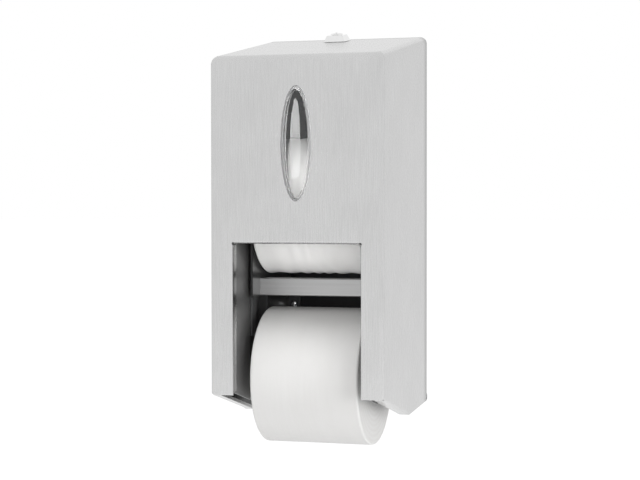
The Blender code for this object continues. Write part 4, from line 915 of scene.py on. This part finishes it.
def bend_cutter(side):
    """What the bend takes off the corner between a side panel and its flange at the foot."""
    half = CASE_WIDTH / 2
    rings = []
    stations = (
        (SHEET + FOOT_SLIT / 2, KEEL_BEND),
        (KEEL[0] - BEND_FADE, KEEL_BEND),
        (KEEL[0] - BEND_FADE / 3, KEEL_BEND * 0.7),
        (KEEL[0], KEEL_BEND * 0.1),
    )
    for depth, radius in stations:
        section = arc((half - radius, radius), radius, 0, -90)
        section += [(half - radius, -OVERRUN), (half + OVERRUN, -OVERRUN), (half + OVERRUN, radius)]
        foot = keel_height(depth)
        rings.append([(side * x, *spot(depth, foot + rise)) for x, rise in section])
    return prism(f"keel_bend_cutter_{side}", rings)


def keel_lip(side):
    """The low upright lip along the inner edge of a flange."""
    near, far = SHEET + FOOT_SLIT, KEEL[0] - KEEL_LIP_SETBACK
    outline = [
        (near, keel_height(near) - OVERRUN),
        (far, keel_height(far) - OVERRUN),
        (far, keel_height(far) + KEEL_LIP),
        (near, keel_height(near) + KEEL_LIP),
    ]
    inner = CASE_WIDTH / 2 - KEEL_FLANGE
    return side_plate(f"keel_lip_{side}", outline, side * inner, side * (inner + SHEET))


def make_cover(material):
    drop = math.atan2(-KEEL[1] - REAR_DROP, CASE_DEPTH - KEEL[0])
    rise = math.acos((CASE_DEPTH - HINGE_DEPTH) / HINGE_LOBE)
    lobe_ends = math.degrees(rise), math.degrees(drop) - 90
    lobe = arc((HINGE_DEPTH, -HINGE_DROP), HINGE_LOBE, *lobe_ends, 2 * BEND_STEPS)
    outline = case_outline(CASE_DEPTH) + lobe + [KEEL]
    plain = [0.0] * (len(outline) - 2)
    side_bends = [CORNER_BEND, TOP_BEND, *plain]
    cross_bends = [FOOT_BEND, TOP_BEND, *plain]
    cover = case_prism("cover_sheet", outline, CASE_WIDTH / 2, side_bends, cross_bends)

    beyond = CASE_DEPTH + OVERRUN + SHEET
    floor = KEEL[1] - 2 * OVERRUN
    hollow = inset(case_outline(beyond) + [(beyond, keel_height(beyond)), KEEL], SHEET)
    flange_top = hollow[4][1] - (hollow[4][0] - KEEL[0]) * KEEL[1] / KEEL[0]
    hollow[3:] = [(hollow[3][0], floor), (KEEL[0], floor), (KEEL[0], flange_top)]
    side_bends = [CORNER_BEND - SHEET, TOP_BEND - SHEET, 0.0, 0.0, 0.0, KEEL_BEND - SHEET]
    cross_bends = [0.0, TOP_BEND - SHEET, 0.0, 0.0, 0.0, 0.0]
    cavity = case_prism("cavity_cutter", hollow, INNER_SIDE, side_bends, cross_bends)
    lip_half = OPENING_HALF + SHEET
    lip_low = (-lip_half, *spot(-OVERRUN, KEEL[1] - 3 * OVERRUN))
    lip_high = (lip_half, *spot(LIP_DEPTH, OPENING_HEIGHT + SHEET))
    cut(cavity, box("lip_block", lip_low, lip_high), keel_lip(-1), keel_lip(1))

    flange_edge = CASE_WIDTH / 2 - KEEL_FLANGE
    bottom_low = (-flange_edge, *spot(LIP_DEPTH, KEEL[1] - OVERRUN))
    bottom = box("bottom_cutter", bottom_low, (flange_edge, *spot(CASE_DEPTH, OVERRUN)))
    window = prism("window_cutter", [window_ring(0, -OVERRUN), window_ring(0, OVERRUN)])
    axis = spot(HINGE_DEPTH, -HINGE_DROP)
    hinge_hole = rod("hinge_cutter", HINGE_HOLE_RADIUS, (-CASE_WIDTH, *axis), (CASE_WIDTH, *axis))
    square = lock_frame()
    ends = square @ Vector((0, 0, -OVERRUN)), square @ Vector((0, 0, OVERRUN))
    lock_hole = rod("lock_cutter", LOCK_HOLE_RADIUS, *ends)
    cut(cover, cavity, bottom, opening_cutter(), window, hinge_hole, lock_hole)
    for side in (-1, 1):
        under, beside = sorted((side * (OPENING_HALF - SHEET), side * flange_edge))
        ends = (under, *spot(SHEET, -OVERRUN)), (beside, *spot(LIP_DEPTH + SHEET, LIP_LIFT))
        stile_foot = box(f"stile_foot_cutter_{side}", *ends)
        under, beside = sorted((side * (flange_edge - SHEET), side * CASE_WIDTH))
        ends = (under, *spot(SHEET, -OVERRUN)), (beside, *spot(SHEET + FOOT_SLIT, SHEET))
        slit = box(f"foot_slit_cutter_{side}", *ends)
        corner = side * OPENING_HALF, OPENING_HEIGHT, -OVERRUN, LIP_DEPTH + OVERRUN
        relief = rod_to_wall(f"lip_relief_cutter_{side}", RELIEF_RADIUS, *corner)
        corner = side * INNER_SIDE, 0, -OVERRUN, CORNER_BEND
        foot_relief = rod_to_wall(f"foot_relief_cutter_{side}", FOOT_RELIEF_RADIUS, *corner)
        cut(cover, bend_cutter(side), stile_foot, slit, relief, foot_relief)
    for sign in (-1, 1):
        height = WINDOW_HEIGHT + sign * (WINDOW_HALF_HEIGHT + STUD_BEYOND_WINDOW)
        join(cover, rod_to_wall(f"stud_{sign}", STUD_RADIUS, 0, height, SHEET / 2, STUD_LENGTH))
    dress(cover, material, "cover", "cover_stainless", "cover_shell")


# The window

LENS_WALL = 0.0016
LENS_RIM = 0.0028
LENS_PROUD = 0.0012
LENS_BULGE = 0.0045
LENS_FLANGE = 0.003
DOME_STEPS = 16
DOME_ROUNDNESS = 0.3


def dome_rise(scale):
    """Height of the dome, as a share of its crown's, at a share of the way out to its rim."""
    rim = math.sqrt(DOME_ROUNDNESS)
    crown = math.sqrt(1 + DOME_ROUNDNESS)
    return (math.sqrt(1 + DOME_ROUNDNESS - scale * scale) - rim) / (crown - rim)


def make_window(material):
    back = SHEET + GAP + LENS_WALL
    rim = WINDOW_HALF_WIDTH - GAP - LENS_RIM
    full_tall = WINDOW_HALF_HEIGHT - GAP - LENS_RIM
    outer = [
        window_ring(LENS_FLANGE, back),
        window_ring(LENS_FLANGE, SHEET + GAP),
        window_ring(-GAP, SHEET + GAP),
        window_ring(-GAP, -LENS_PROUD * 0.5),
        window_ring(-GAP - LENS_PROUD * 0.15, -LENS_PROUD * 0.85),
        window_ring(-GAP - LENS_PROUD * 0.5, -LENS_PROUD),
        window_ring(-GAP - LENS_RIM, -LENS_PROUD),
    ]
    inner = []
    for step in range(1, DOME_STEPS):
        scale = 1 - step / DOME_STEPS
        bulge = LENS_BULGE * dome_rise(scale)
        outer.append(ellipse(rim * scale, full_tall * scale, -LENS_PROUD - bulge))
        hollow = LENS_WALL - LENS_PROUD - bulge
        ring = ellipse((rim - LENS_WALL / 2) * scale, (full_tall - LENS_WALL / 2) * scale, hollow)
        inner.append(ring)
    inner.reverse()
    inner.append(window_ring(-GAP - LENS_RIM - LENS_WALL / 2, LENS_WALL - LENS_PROUD))
    inner.append(window_ring(-GAP - LENS_RIM - LENS_WALL / 2, back + OVERRUN))
    lens = cut(prism("window_glazing", outer), prism("lens_cutter", inner))
    return dress(lens, material, "cover", "window_plastic", "window_lens")


# Liners beside the opening

LINER_SHEET = 0.001
LINER_REAR = 0.050
LINER_TOP = 0.150
LINER_FOOT = 0.010
LINER_LIFT = 0.0035
LINER_BEND = 0.0016


def make_liners(material):
    """Folded liners: a foot behind the stile, a bend, and a web that runs in beside the roll."""
    start = OPENING_HALF + SHEET + GAP
    front = SHEET + GAP
    for side, label in SIDES:
        inner_bend = LINER_BEND - LINER_SHEET
        centre = (start + LINER_BEND, front + LINER_BEND)
        outline = [(start, LINER_REAR)]
        outline += arc(centre, LINER_BEND, 180, 270)
        outline += [(start + LINER_FOOT, front), (start + LINER_FOOT, front + LINER_SHEET)]
        outline += arc(centre, inner_bend, 270, 180)
        outline += [(start + LINER_SHEET, LINER_REAR)]
        foot = keel_height(LINER_REAR) - OVERRUN
        rings = []
        for height in (foot, LINER_TOP):
            rings.append([(side * x, *spot(depth, height)) for x, depth in outline])
        liner = prism(f"opening_liner_{label}", rings)
        ends = -OVERRUN, 2 * LINER_REAR
        keel = [(depth, LINER_LIFT + depth * KEEL[1] / KEEL[0]) for depth in ends]
        keel += [(depth, foot - 2 * OVERRUN) for depth in reversed(ends)]
        across = side * (start - OVERRUN), side * (start + LINER_FOOT + OVERRUN)
        cut(liner, side_plate(f"liner_trim_{label}", keel, *across))
        dress(liner, material, "cover", "inner_stainless", f"opening_shield_{label}")


# Lock

LOCK_FOOT = 0.0010
LOCK_BASE = 0.0225
LOCK_TOP = 0.0160
LOCK_HEIGHT = 0.0058
LOCK_EDGE = 0.0006
BARREL_RADIUS = 0.007
BARREL_LENGTH = 0.016
PLUG_RADIUS = 0.0045
PLUG_HEAD_RADIUS = 0.006
PLUG_HEAD_RIM = 0.0006
PLUG_HEAD_DOME = 0.0012
PLUG_TAIL = 0.002
KEYWAY = (0.001, 0.006, 0.0035)
DOME_SHARES = ((0, 1.0), (0.25, 0.96), (0.5, 0.84), (0.7, 0.66), (0.85, 0.42), (0.95, 0.2))


def make_lock(chrome):
    square = lock_frame()
    half = [LOCK_BASE / 2, LOCK_BASE / 2 - LOCK_FOOT, LOCK_TOP / 2]
    levels = [GAP, GAP + LOCK_FOOT / 2, GAP + LOCK_HEIGHT]
    rings = [
        [(x * size, y * size, level) for x, y in ((-1, -1), (1, -1), (1, 1), (-1, 1))]
        for size, level in zip(half, levels)
    ]
    bezel = soften(prism("lock_bezel", rings), LOCK_EDGE, 4)
    barrel = rod("lock_barrel", BARREL_RADIUS, (0, 0, -BARREL_LENGTH), (0, 0, LOCK_HEIGHT / 2))
    bore = rod("lock_bore", PLUG_RADIUS + GAP, (0, 0, -2 * BARREL_LENGTH), (0, 0, BARREL_LENGTH))
    settle(cut(join(bezel, barrel), bore))
    bezel.data.transform(square)
    dress(bezel, chrome, "cover", "lock_chrome", "lock_housing")

    seat = GAP + LOCK_HEIGHT + GAP
    rim = seat + PLUG_HEAD_RIM
    profile = [(PLUG_HEAD_RADIUS * r, rim + PLUG_HEAD_DOME * h) for r, h in DOME_SHARES]
    tail = -BARREL_LENGTH - PLUG_TAIL
    profile += [(PLUG_HEAD_RADIUS, rim), (PLUG_HEAD_RADIUS, seat)]
    profile += [(PLUG_RADIUS, seat), (PLUG_RADIUS, tail), (0, tail)]
    plug = turned("lock_plug_head", profile)
    wide, long, deep = KEYWAY
    crown = rim + PLUG_HEAD_DOME
    low, high = (-wide / 2, -long / 2, crown - deep), (wide / 2, long / 2, crown + OVERRUN)
    settle(cut(plug, box("keyway", low, high)))
    plug.data.transform(square)
    dress(plug, chrome, "lock", "lock_chrome", "lock_plug")


# Rolls

ROLL_RADIUS = 0.0635
ROLL_WIDTH = 0.102
ROLL_DEPTH = 0.0836
ROLL_HEIGHTS = {"lower": 0.012, "upper": 0.1706}
ROLL_EDGE = 0.0016
CORE_BORE_RADIUS = 0.0192
CORE_RADIUS = 0.0203
LAYER_PITCH = 0.00055
END_RINGS = 26
EDGE_STEPS = 5
EDGE_START = 75
END_WAVE = 0.00022
WRAP_WAVE = 0.00016
WRAP_STATIONS = 48
WAVE_PHASE = {"lower": 0.0, "upper": 2.1}
SCALLOPS = {"lower": 0.0, "upper": 0.0009}
SCALLOP_PITCH = 0.014
# The waves drift by these angles, in radians, for each metre across the ends or along the roll
BROAD_END_DRIFT, FINE_END_DRIFT = 900, 2300
BROAD_WRAP_DRIFT, FINE_WRAP_DRIFT = 40, 70
SCALLOP_DRIFT = 90
ROLL_STEPS = 192


def paper_ring(label, radius, place):
    """One ring of a roll's surface about X, with the waves of its ends or of its outer wrap."""
    phase = WAVE_PHASE[label]
    end = 1 if place > 0 else -1
    at_end = abs(place) > ROLL_WIDTH / 2 - ROLL_EDGE * 1.05
    on_wrap = radius > ROLL_RADIUS - ROLL_EDGE
    ripple = math.sin(place * 2 * math.pi / SCALLOP_PITCH + 2 * math.sin(place * SCALLOP_DRIFT))
    ring = []
    for step in range(ROLL_STEPS):
        angle = 2 * math.pi * step / ROLL_STEPS
        wave = math.sin(radius * BROAD_END_DRIFT + 2 * angle + phase) * 0.6
        wave += math.sin(radius * FINE_END_DRIFT - 3 * angle + 1.3 + end) * 0.4
        along = -end * END_WAVE * (1 + wave) / 2 if at_end else 0.0
        lump = math.sin(3 * angle + place * BROAD_WRAP_DRIFT + phase)
        lump += math.sin(7 * angle - place * FINE_WRAP_DRIFT)
        dip = WRAP_WAVE * (1 + lump / 2) / 2 + SCALLOPS[label] * (1 + ripple) / 2
        out = radius - dip if on_wrap else radius
        ring.append((place + along, out * math.cos(angle), out * math.sin(angle)))
    return ring


def make_paper(label, material):
    """The wound paper: soft round edges, slightly wavy ends and a faintly uneven outer wrap."""
    half = ROLL_WIDTH / 2
    inner = CORE_RADIUS + GAP
    edge = ROLL_RADIUS - ROLL_EDGE
    near_end = [(inner + (edge - inner) * step / END_RINGS, half) for step in range(END_RINGS + 1)]
    near_end += arc((edge, half - ROLL_EDGE), ROLL_EDGE, EDGE_START, 0, EDGE_STEPS)
    wrap = []
    for step in range(1, WRAP_STATIONS):
        wrap.append((ROLL_RADIUS, (half - ROLL_EDGE) * (1 - 2 * step / WRAP_STATIONS)))
    far_end = [(radius, -place) for radius, place in reversed(near_end)]
    rings = [paper_ring(label, *station) for station in near_end + wrap + far_end]
    paper = prism(f"{label}_tissue", rings, endless=True)
    paper.data.transform(Matrix.Translation((0, *spot(ROLL_DEPTH, ROLL_HEIGHTS[label]))))
    dress(paper, material, f"{label}_roll", "tissue_paper", f"{label}_paper_roll", angle=60)


def make_core(label, material):
    half = ROLL_WIDTH / 2
    profile = [(CORE_BORE_RADIUS, half), (CORE_RADIUS, half)]
    profile += [(radius, -place) for radius, place in reversed(profile)]
    core = turned(f"{label}_tube", profile)
    lay_along_x(core, 0, 1, ROLL_DEPTH, ROLL_HEIGHTS[label])
    dress(core, material, f"{label}_roll", "core_cardboard", f"{label}_core")


SPINDLE_RADIUS = 0.0185
SPINDLE_BORE_RADIUS = 0.010
HUB_RADIUS = 0.0143
HUB_REACH = 0.0682
HUB_EDGE = 0.0012


def make_spindle(label, material):
    shoulder = ROLL_WIDTH / 2 - GAP
    half = [
        (SPINDLE_BORE_RADIUS + HUB_EDGE / 3, HUB_REACH),
        (HUB_RADIUS - HUB_EDGE, HUB_REACH),
        (HUB_RADIUS - HUB_EDGE * 0.3, HUB_REACH - HUB_EDGE * 0.3),
        (HUB_RADIUS, HUB_REACH - HUB_EDGE),
        (HUB_RADIUS, shoulder),
        (SPINDLE_RADIUS - HUB_EDGE / 2, shoulder - HUB_EDGE / 3),
        (SPINDLE_RADIUS, shoulder - HUB_EDGE),
    ]
    profile = half + [(radius, -place) for radius, place in reversed(half)]
    bore_end = HUB_REACH - HUB_EDGE / 3
    profile += [(SPINDLE_BORE_RADIUS, -bore_end), (SPINDLE_BORE_RADIUS, bore_end)]
    spindle = turned(f"{label}_roll_spindle", profile)
    lay_along_x(spindle, 0, 1, ROLL_DEPTH, ROLL_HEIGHTS[label])
    dress(spindle, material, "wall_unit", "spindle_plastic", f"{label}_spindle")


# Drop gate

GATE_SHEET = 0.0015
GATE_OUTER = 0.057
GATE_BAR_DEPTH = 0.0644
GATE_BAR_FOOT = 0.0868
GATE_BAR_HEIGHT = 0.0169
GATE_BAR_LIP = 0.008
GATE_NOSE_DEPTH = 0.0425
GATE_NOSE_CHAMFER = 0.007
GATE_LEDGE_WIDTH = 0.030
GATE_WAIST_HEIGHT = 0.110
GATE_PIVOT = (0.152, 0.095)
GATE_EYE_RADIUS = 0.008
GATE_HOLE_RADIUS = 0.00265
GATE_BAR_BEND = 0.0016


def make_gate(material):
    """The U-shaped gate: two arms joined by the channel that shows between the rolls."""
    back = GATE_BAR_DEPTH + GATE_BAR_LIP
    foot, head = GATE_BAR_FOOT, GATE_BAR_FOOT + GATE_BAR_HEIGHT
    bend, inner = GATE_BAR_BEND, GATE_BAR_BEND - GATE_SHEET
    lower = (GATE_BAR_DEPTH + bend, foot + bend)
    upper = (GATE_BAR_DEPTH + bend, head - bend)
    channel = [(back, foot), *arc(lower, bend, 270, 180), *arc(upper, bend, 180, 90), (back, head)]
    channel += [(back, head - GATE_SHEET), *arc(upper, inner, 90, 180)]
    channel += [*arc(lower, inner, 180, 270), (back, foot + GATE_SHEET)]
    half = GATE_OUTER - GATE_SHEET / 2
    gate = side_plate("cross_bar_gate", channel, -half, half)
    ledge = ROLL_HEIGHTS["upper"] - HUB_RADIUS - GAP
    rear = ROLL_DEPTH + GATE_LEDGE_WIDTH / 2
    arm = [
        (GATE_NOSE_DEPTH, foot - GATE_SHEET / 2),
        (GATE_NOSE_DEPTH, ledge - GATE_NOSE_CHAMFER),
        (GATE_NOSE_DEPTH + GATE_NOSE_CHAMFER, ledge),
        (rear, ledge),
        (rear + GATE_NOSE_CHAMFER / 2, ledge - GATE_NOSE_CHAMFER),
        (rear + GATE_NOSE_CHAMFER, GATE_WAIST_HEIGHT),
        *arc(GATE_PIVOT, GATE_EYE_RADIUS, 90, -90, 2 * BEND_STEPS),
    ]
    for side in (-1, 1):
        join(gate, side_plate(f"arm_{side}", arm, side * (GATE_OUTER - GATE_SHEET), side * GATE_OUTER))
    axis = spot(*GATE_PIVOT)
    cut(gate, rod("eye_cutter", GATE_HOLE_RADIUS, (-CASE_WIDTH, *axis), (CASE_WIDTH, *axis)))
    dress(gate, material, "gate", "cover_stainless", "drop_gate")


# Small turned pieces


# A pan head's outline from its crown to its rim, as shares of its radius and its height
PAN_HEAD = ((0, 1.0), (0.35, 0.98), (0.62, 0.9), (0.82, 0.72), (0.95, 0.42), (1.0, 0))

TAB_SIDE = 0.0535
TAB_HEIGHTS = {"lower": 0.073, "upper": 0.230}
TAB_SEAT = 0.1614
SCREW_RADIUS = 0.0018
SCREW_HEAD_RADIUS = 0.004
SCREW_HEAD = 0.0024
DRIVE_SLOT = (0.001, 0.0009)


def make_guide_screws(material):
    """The pan-headed screws that hold the guides, each with a drive slot."""
    shank = FRONT_TO_WALL - GAP - TAB_SEAT
    profile = [(SCREW_HEAD_RADIUS * out, SCREW_HEAD * up) for out, up in PAN_HEAD]
    profile += [(SCREW_RADIUS, 0), (SCREW_RADIUS, -shank), (0, -shank)]
    wide, deep = DRIVE_SLOT
    slot_ends = [(-SCREW_HEAD_RADIUS, -wide / 2, SCREW_HEAD - deep)]
    slot_ends.append((SCREW_HEAD_RADIUS, wide / 2, 2 * SCREW_HEAD))
    screws = []
    for side, label in SIDES:
        for word, height in TAB_HEIGHTS.items():
            screw = turned(f"shiny_screw_{word}_{label}", profile, COARSE_STEPS)
            settle(cut(screw, box("drive_slot", *slot_ends)))
            lay_along_y(screw, side * TAB_SIDE, TAB_SEAT, height)
            dress(screw, material, "wall_unit", "zinc_steel", f"guide_screw_{word}_{label}")
            screws.append(screw)
    return screws


WASHER = 0.001
HINGE_PIN_HEAD_RADIUS = 0.0036
GATE_PIN_RADIUS = 0.0025
GATE_PIN_HEAD_RADIUS = 0.0045
GATE_PIN_LENGTH = 0.013
PIN_EDGE = 0.0003
PIN_HEAD = 0.0014
PIN_HEAD_RIM = 0.0009
PIN_CROWN_SHARE = 0.8


def make_pins(material):
    """The hinge pins, whose ends show in the cover's sides, and the gate's pins."""
    ear = INNER_SIDE - WASHER - 2 * GAP - PLATE
    hinge = HINGE_DEPTH, -HINGE_DROP
    arm = GATE_OUTER - GATE_SHEET
    rows = (
        ("hinge", ear - GAP, CASE_WIDTH / 2 - ear, HINGE_PIN_RADIUS, HINGE_PIN_HEAD_RADIUS, hinge),
        ("gate", arm - GAP, GATE_PIN_LENGTH, GATE_PIN_RADIUS, GATE_PIN_HEAD_RADIUS, GATE_PIVOT),
    )
    for word, seat, shank, radius, head_radius, place in rows:
        profile = [(0, shank), (radius - PIN_EDGE, shank), (radius, shank - PIN_EDGE), (radius, 0)]
        profile += [(head_radius, 0), (head_radius, -PIN_HEAD_RIM)]
        profile += [(head_radius * PIN_CROWN_SHARE, -PIN_HEAD), (0, -PIN_HEAD)]
        for side, label in SIDES:
            pin = turned(f"{word}_rivet_pin_{label}", profile, COARSE_STEPS)
            lay_along_x(pin, seat, side, *place)
            dress(pin, material, "wall_unit", "zinc_steel", f"{word}_pin_{label}")


# Side guides

GUIDE_INNER = 0.060
GUIDE_THICKNESS = 0.010
GUIDE_FRONT = 0.0535
GUIDE_TOP = 0.262
GUIDE_LIFT = 0.0065
TRACK_HALF = 0.0145
TRACK_DEPTH = 0.0085
LOWER_MOUTH_LIP = 0.008
LOWER_MOUTH_TOP = 0.050
TRACK_BEND_HEIGHT = 0.084
TRACK_BEND_FLARE = 0.007
UPPER_MOUTH_FOOT = 0.215
UPPER_MOUTH_TOP = 0.249
UPPER_MOUTH_SLOPE = 0.015
TAB_WIDTH = 0.013
TAB_HALF_HEIGHT = 0.012
TAB_THICKNESS = 0.003
STOP_DEPTHS = (0.118, 0.126)
STOP_HEIGHT = 0.006
POCKET_RADIUS = 0.0065
POCKET_DEPTH = 0.005
GUIDE_EDGE = 0.0004


def track_outline():
    front, rear = ROLL_DEPTH - TRACK_HALF, ROLL_DEPTH + TRACK_HALF
    seat_height = ROLL_HEIGHTS["lower"]
    open_edge = GUIDE_FRONT - OVERRUN
    return [
        (rear, UPPER_MOUTH_FOOT),
        *arc((ROLL_DEPTH, seat_height), TRACK_HALF, 0, -180, 4 * BEND_STEPS),
        (GUIDE_FRONT, seat_height + LOWER_MOUTH_LIP),
        (open_edge, seat_height + LOWER_MOUTH_LIP),
        (open_edge, LOWER_MOUTH_TOP),
        (front - TRACK_BEND_FLARE, LOWER_MOUTH_TOP),
        (front, TRACK_BEND_HEIGHT),
        (front, UPPER_MOUTH_FOOT - UPPER_MOUTH_SLOPE),
        (open_edge, UPPER_MOUTH_FOOT),
        (open_edge, UPPER_MOUTH_TOP),
        (GUIDE_FRONT, UPPER_MOUTH_TOP),
    ]


def make_guide(material, side, label):
    """A moulded guide that the roll hubs run in, with its edges just broken."""

    def plate(name, points, low, high):
        return side_plate(f"{name}_{label}", points, side * low, side * high)

    rear = FRONT_TO_WALL - PLATE - GAP
    outline = [(GUIDE_FRONT, GUIDE_TOP), (rear, GUIDE_TOP)]
    for depth in (rear, KEEL[0], GUIDE_FRONT):
        outline.append((depth, keel_height(depth) + GUIDE_LIFT))
    waist = ROLL_DEPTH + GATE_LEDGE_WIDTH / 2 + GATE_NOSE_CHAMFER
    eye_top = GATE_PIVOT[1] + GATE_EYE_RADIUS
    slope = (eye_top - GATE_WAIST_HEIGHT) / (GATE_PIVOT[0] - waist)
    stop = [(depth, GATE_WAIST_HEIGHT + (depth - waist) * slope + GAP) for depth in STOP_DEPTHS]
    stop += [(depth, low + STOP_HEIGHT) for depth, low in reversed(stop)]
    pivot = spot(*GATE_PIVOT)
    guide = plate("hub_guide", outline, GUIDE_INNER, GUIDE_INNER + GUIDE_THICKNESS)
    for word, height in TAB_HEIGHTS.items():
        low, high = height - TAB_HALF_HEIGHT, height + TAB_HALF_HEIGHT
        tab = [(rear - TAB_THICKNESS, low), (rear - TAB_THICKNESS, high), (rear, high), (rear, low)]
        join(guide, plate(f"tab_{word}", tab, GUIDE_INNER - TAB_WIDTH, GUIDE_INNER + TAB_THICKNESS))
        hole = side * TAB_SIDE, height, rear - OVERRUN, rear + OVERRUN, ROUND_STEPS
        cut(guide, rod_to_wall(f"tab_hole_{word}_{label}", SCREW_RADIUS + GAP, *hole))
    join(guide, plate("stop", stop, GATE_OUTER - GATE_SHEET, GUIDE_INNER + GUIDE_THICKNESS / 4))
    ends = (side * (GUIDE_INNER - OVERRUN), *pivot), (side * (GUIDE_INNER + POCKET_DEPTH), *pivot)
    pocket = rod(f"pocket_{label}", POCKET_RADIUS, *ends)
    track = plate("track", track_outline(), GUIDE_INNER - OVERRUN, GUIDE_INNER + TRACK_DEPTH)
    settle(cut(guide, track, pocket))
    soften(guide, GUIDE_EDGE)
    dress(guide, material, "wall_unit", "guide_plastic", f"side_guide_{label}")


# CAD nodes that keep their own shape


def paint_nodes(material, *names):
    """Gives carried-over CAD nodes their material."""
    for name in names:
        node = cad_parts[name]
        node.data.materials.clear()
        node.data.materials.append(material)


def main():
    bpy.context.scene.view_settings.view_transform = "Standard"
    make_camera()
    make_world()
    make_floor()
    make_lamps()

    cover_steel = brushed_steel(
        "cover_stainless", 0.60, 0.27, "Z", sheet_shade, spread=0.075, coarse=1200.0, along=40.0
    )
    bar_steel = brushed_steel(
        "bar_stainless", 0.435, 0.30, "X", gate_shade, spread=0.10, coarse=650.0, along=10.0
    )
    liner_steel = smooth_metal("liner_stainless", 0.33, 0.40, metallic=0.8)
    plate_steel = moulded_plastic("dark_coated_plate", (0.028, 0.028, 0.030), 0.45)
    zinc = smooth_metal("zinc_plate", 0.62, 0.30, (1.0, 1.0, 1.03))
    screw_zinc = smooth_metal("bright_zinc", 0.85, 0.12, (1.0, 1.0, 1.02))
    chrome = smooth_metal("chrome", 0.80, 0.05)
    guide_plastic = moulded_plastic("guide_plastic", (0.10, 0.10, 0.102), 0.32)
    spindle_plastic = moulded_plastic("spindle_plastic", (0.45, 0.46, 0.47), 0.42)
    nylon = moulded_plastic("nylon", (0.72, 0.71, 0.66), 0.45)

    make_cover(cover_steel)
    light_window(make_window(clear_plastic("window_plastic")))
    make_liners(liner_steel)
    make_lock(chrome)
    tube_card = cardboard("core_cardboard")
    for label, height in ROLL_HEIGHTS.items():
        make_paper(label, tissue(f"{label}_tissue", height))
        make_core(label, tube_card)
        make_spindle(label, spindle_plastic)
    make_gate(bar_steel)
    light_screws(make_guide_screws(screw_zinc))
    make_pins(zinc)
    for side, label in SIDES:
        make_guide(guide_plastic, side, label)
    paint_nodes(plate_steel, "back_plate", "lens_retainer")
    paint_nodes(zinc, "latch_keeper", "keeper_rivet_1", "keeper_rivet_2")
    paint_nodes(zinc, "push_nut_lower", "push_nut_upper", "lock_nut", "lock_cam", "cam_screw")
    paint_nodes(zinc, "gate_spring_left", "gate_spring_right")
    paint_nodes(nylon, "hinge_washer_left", "hinge_washer_right")


main()
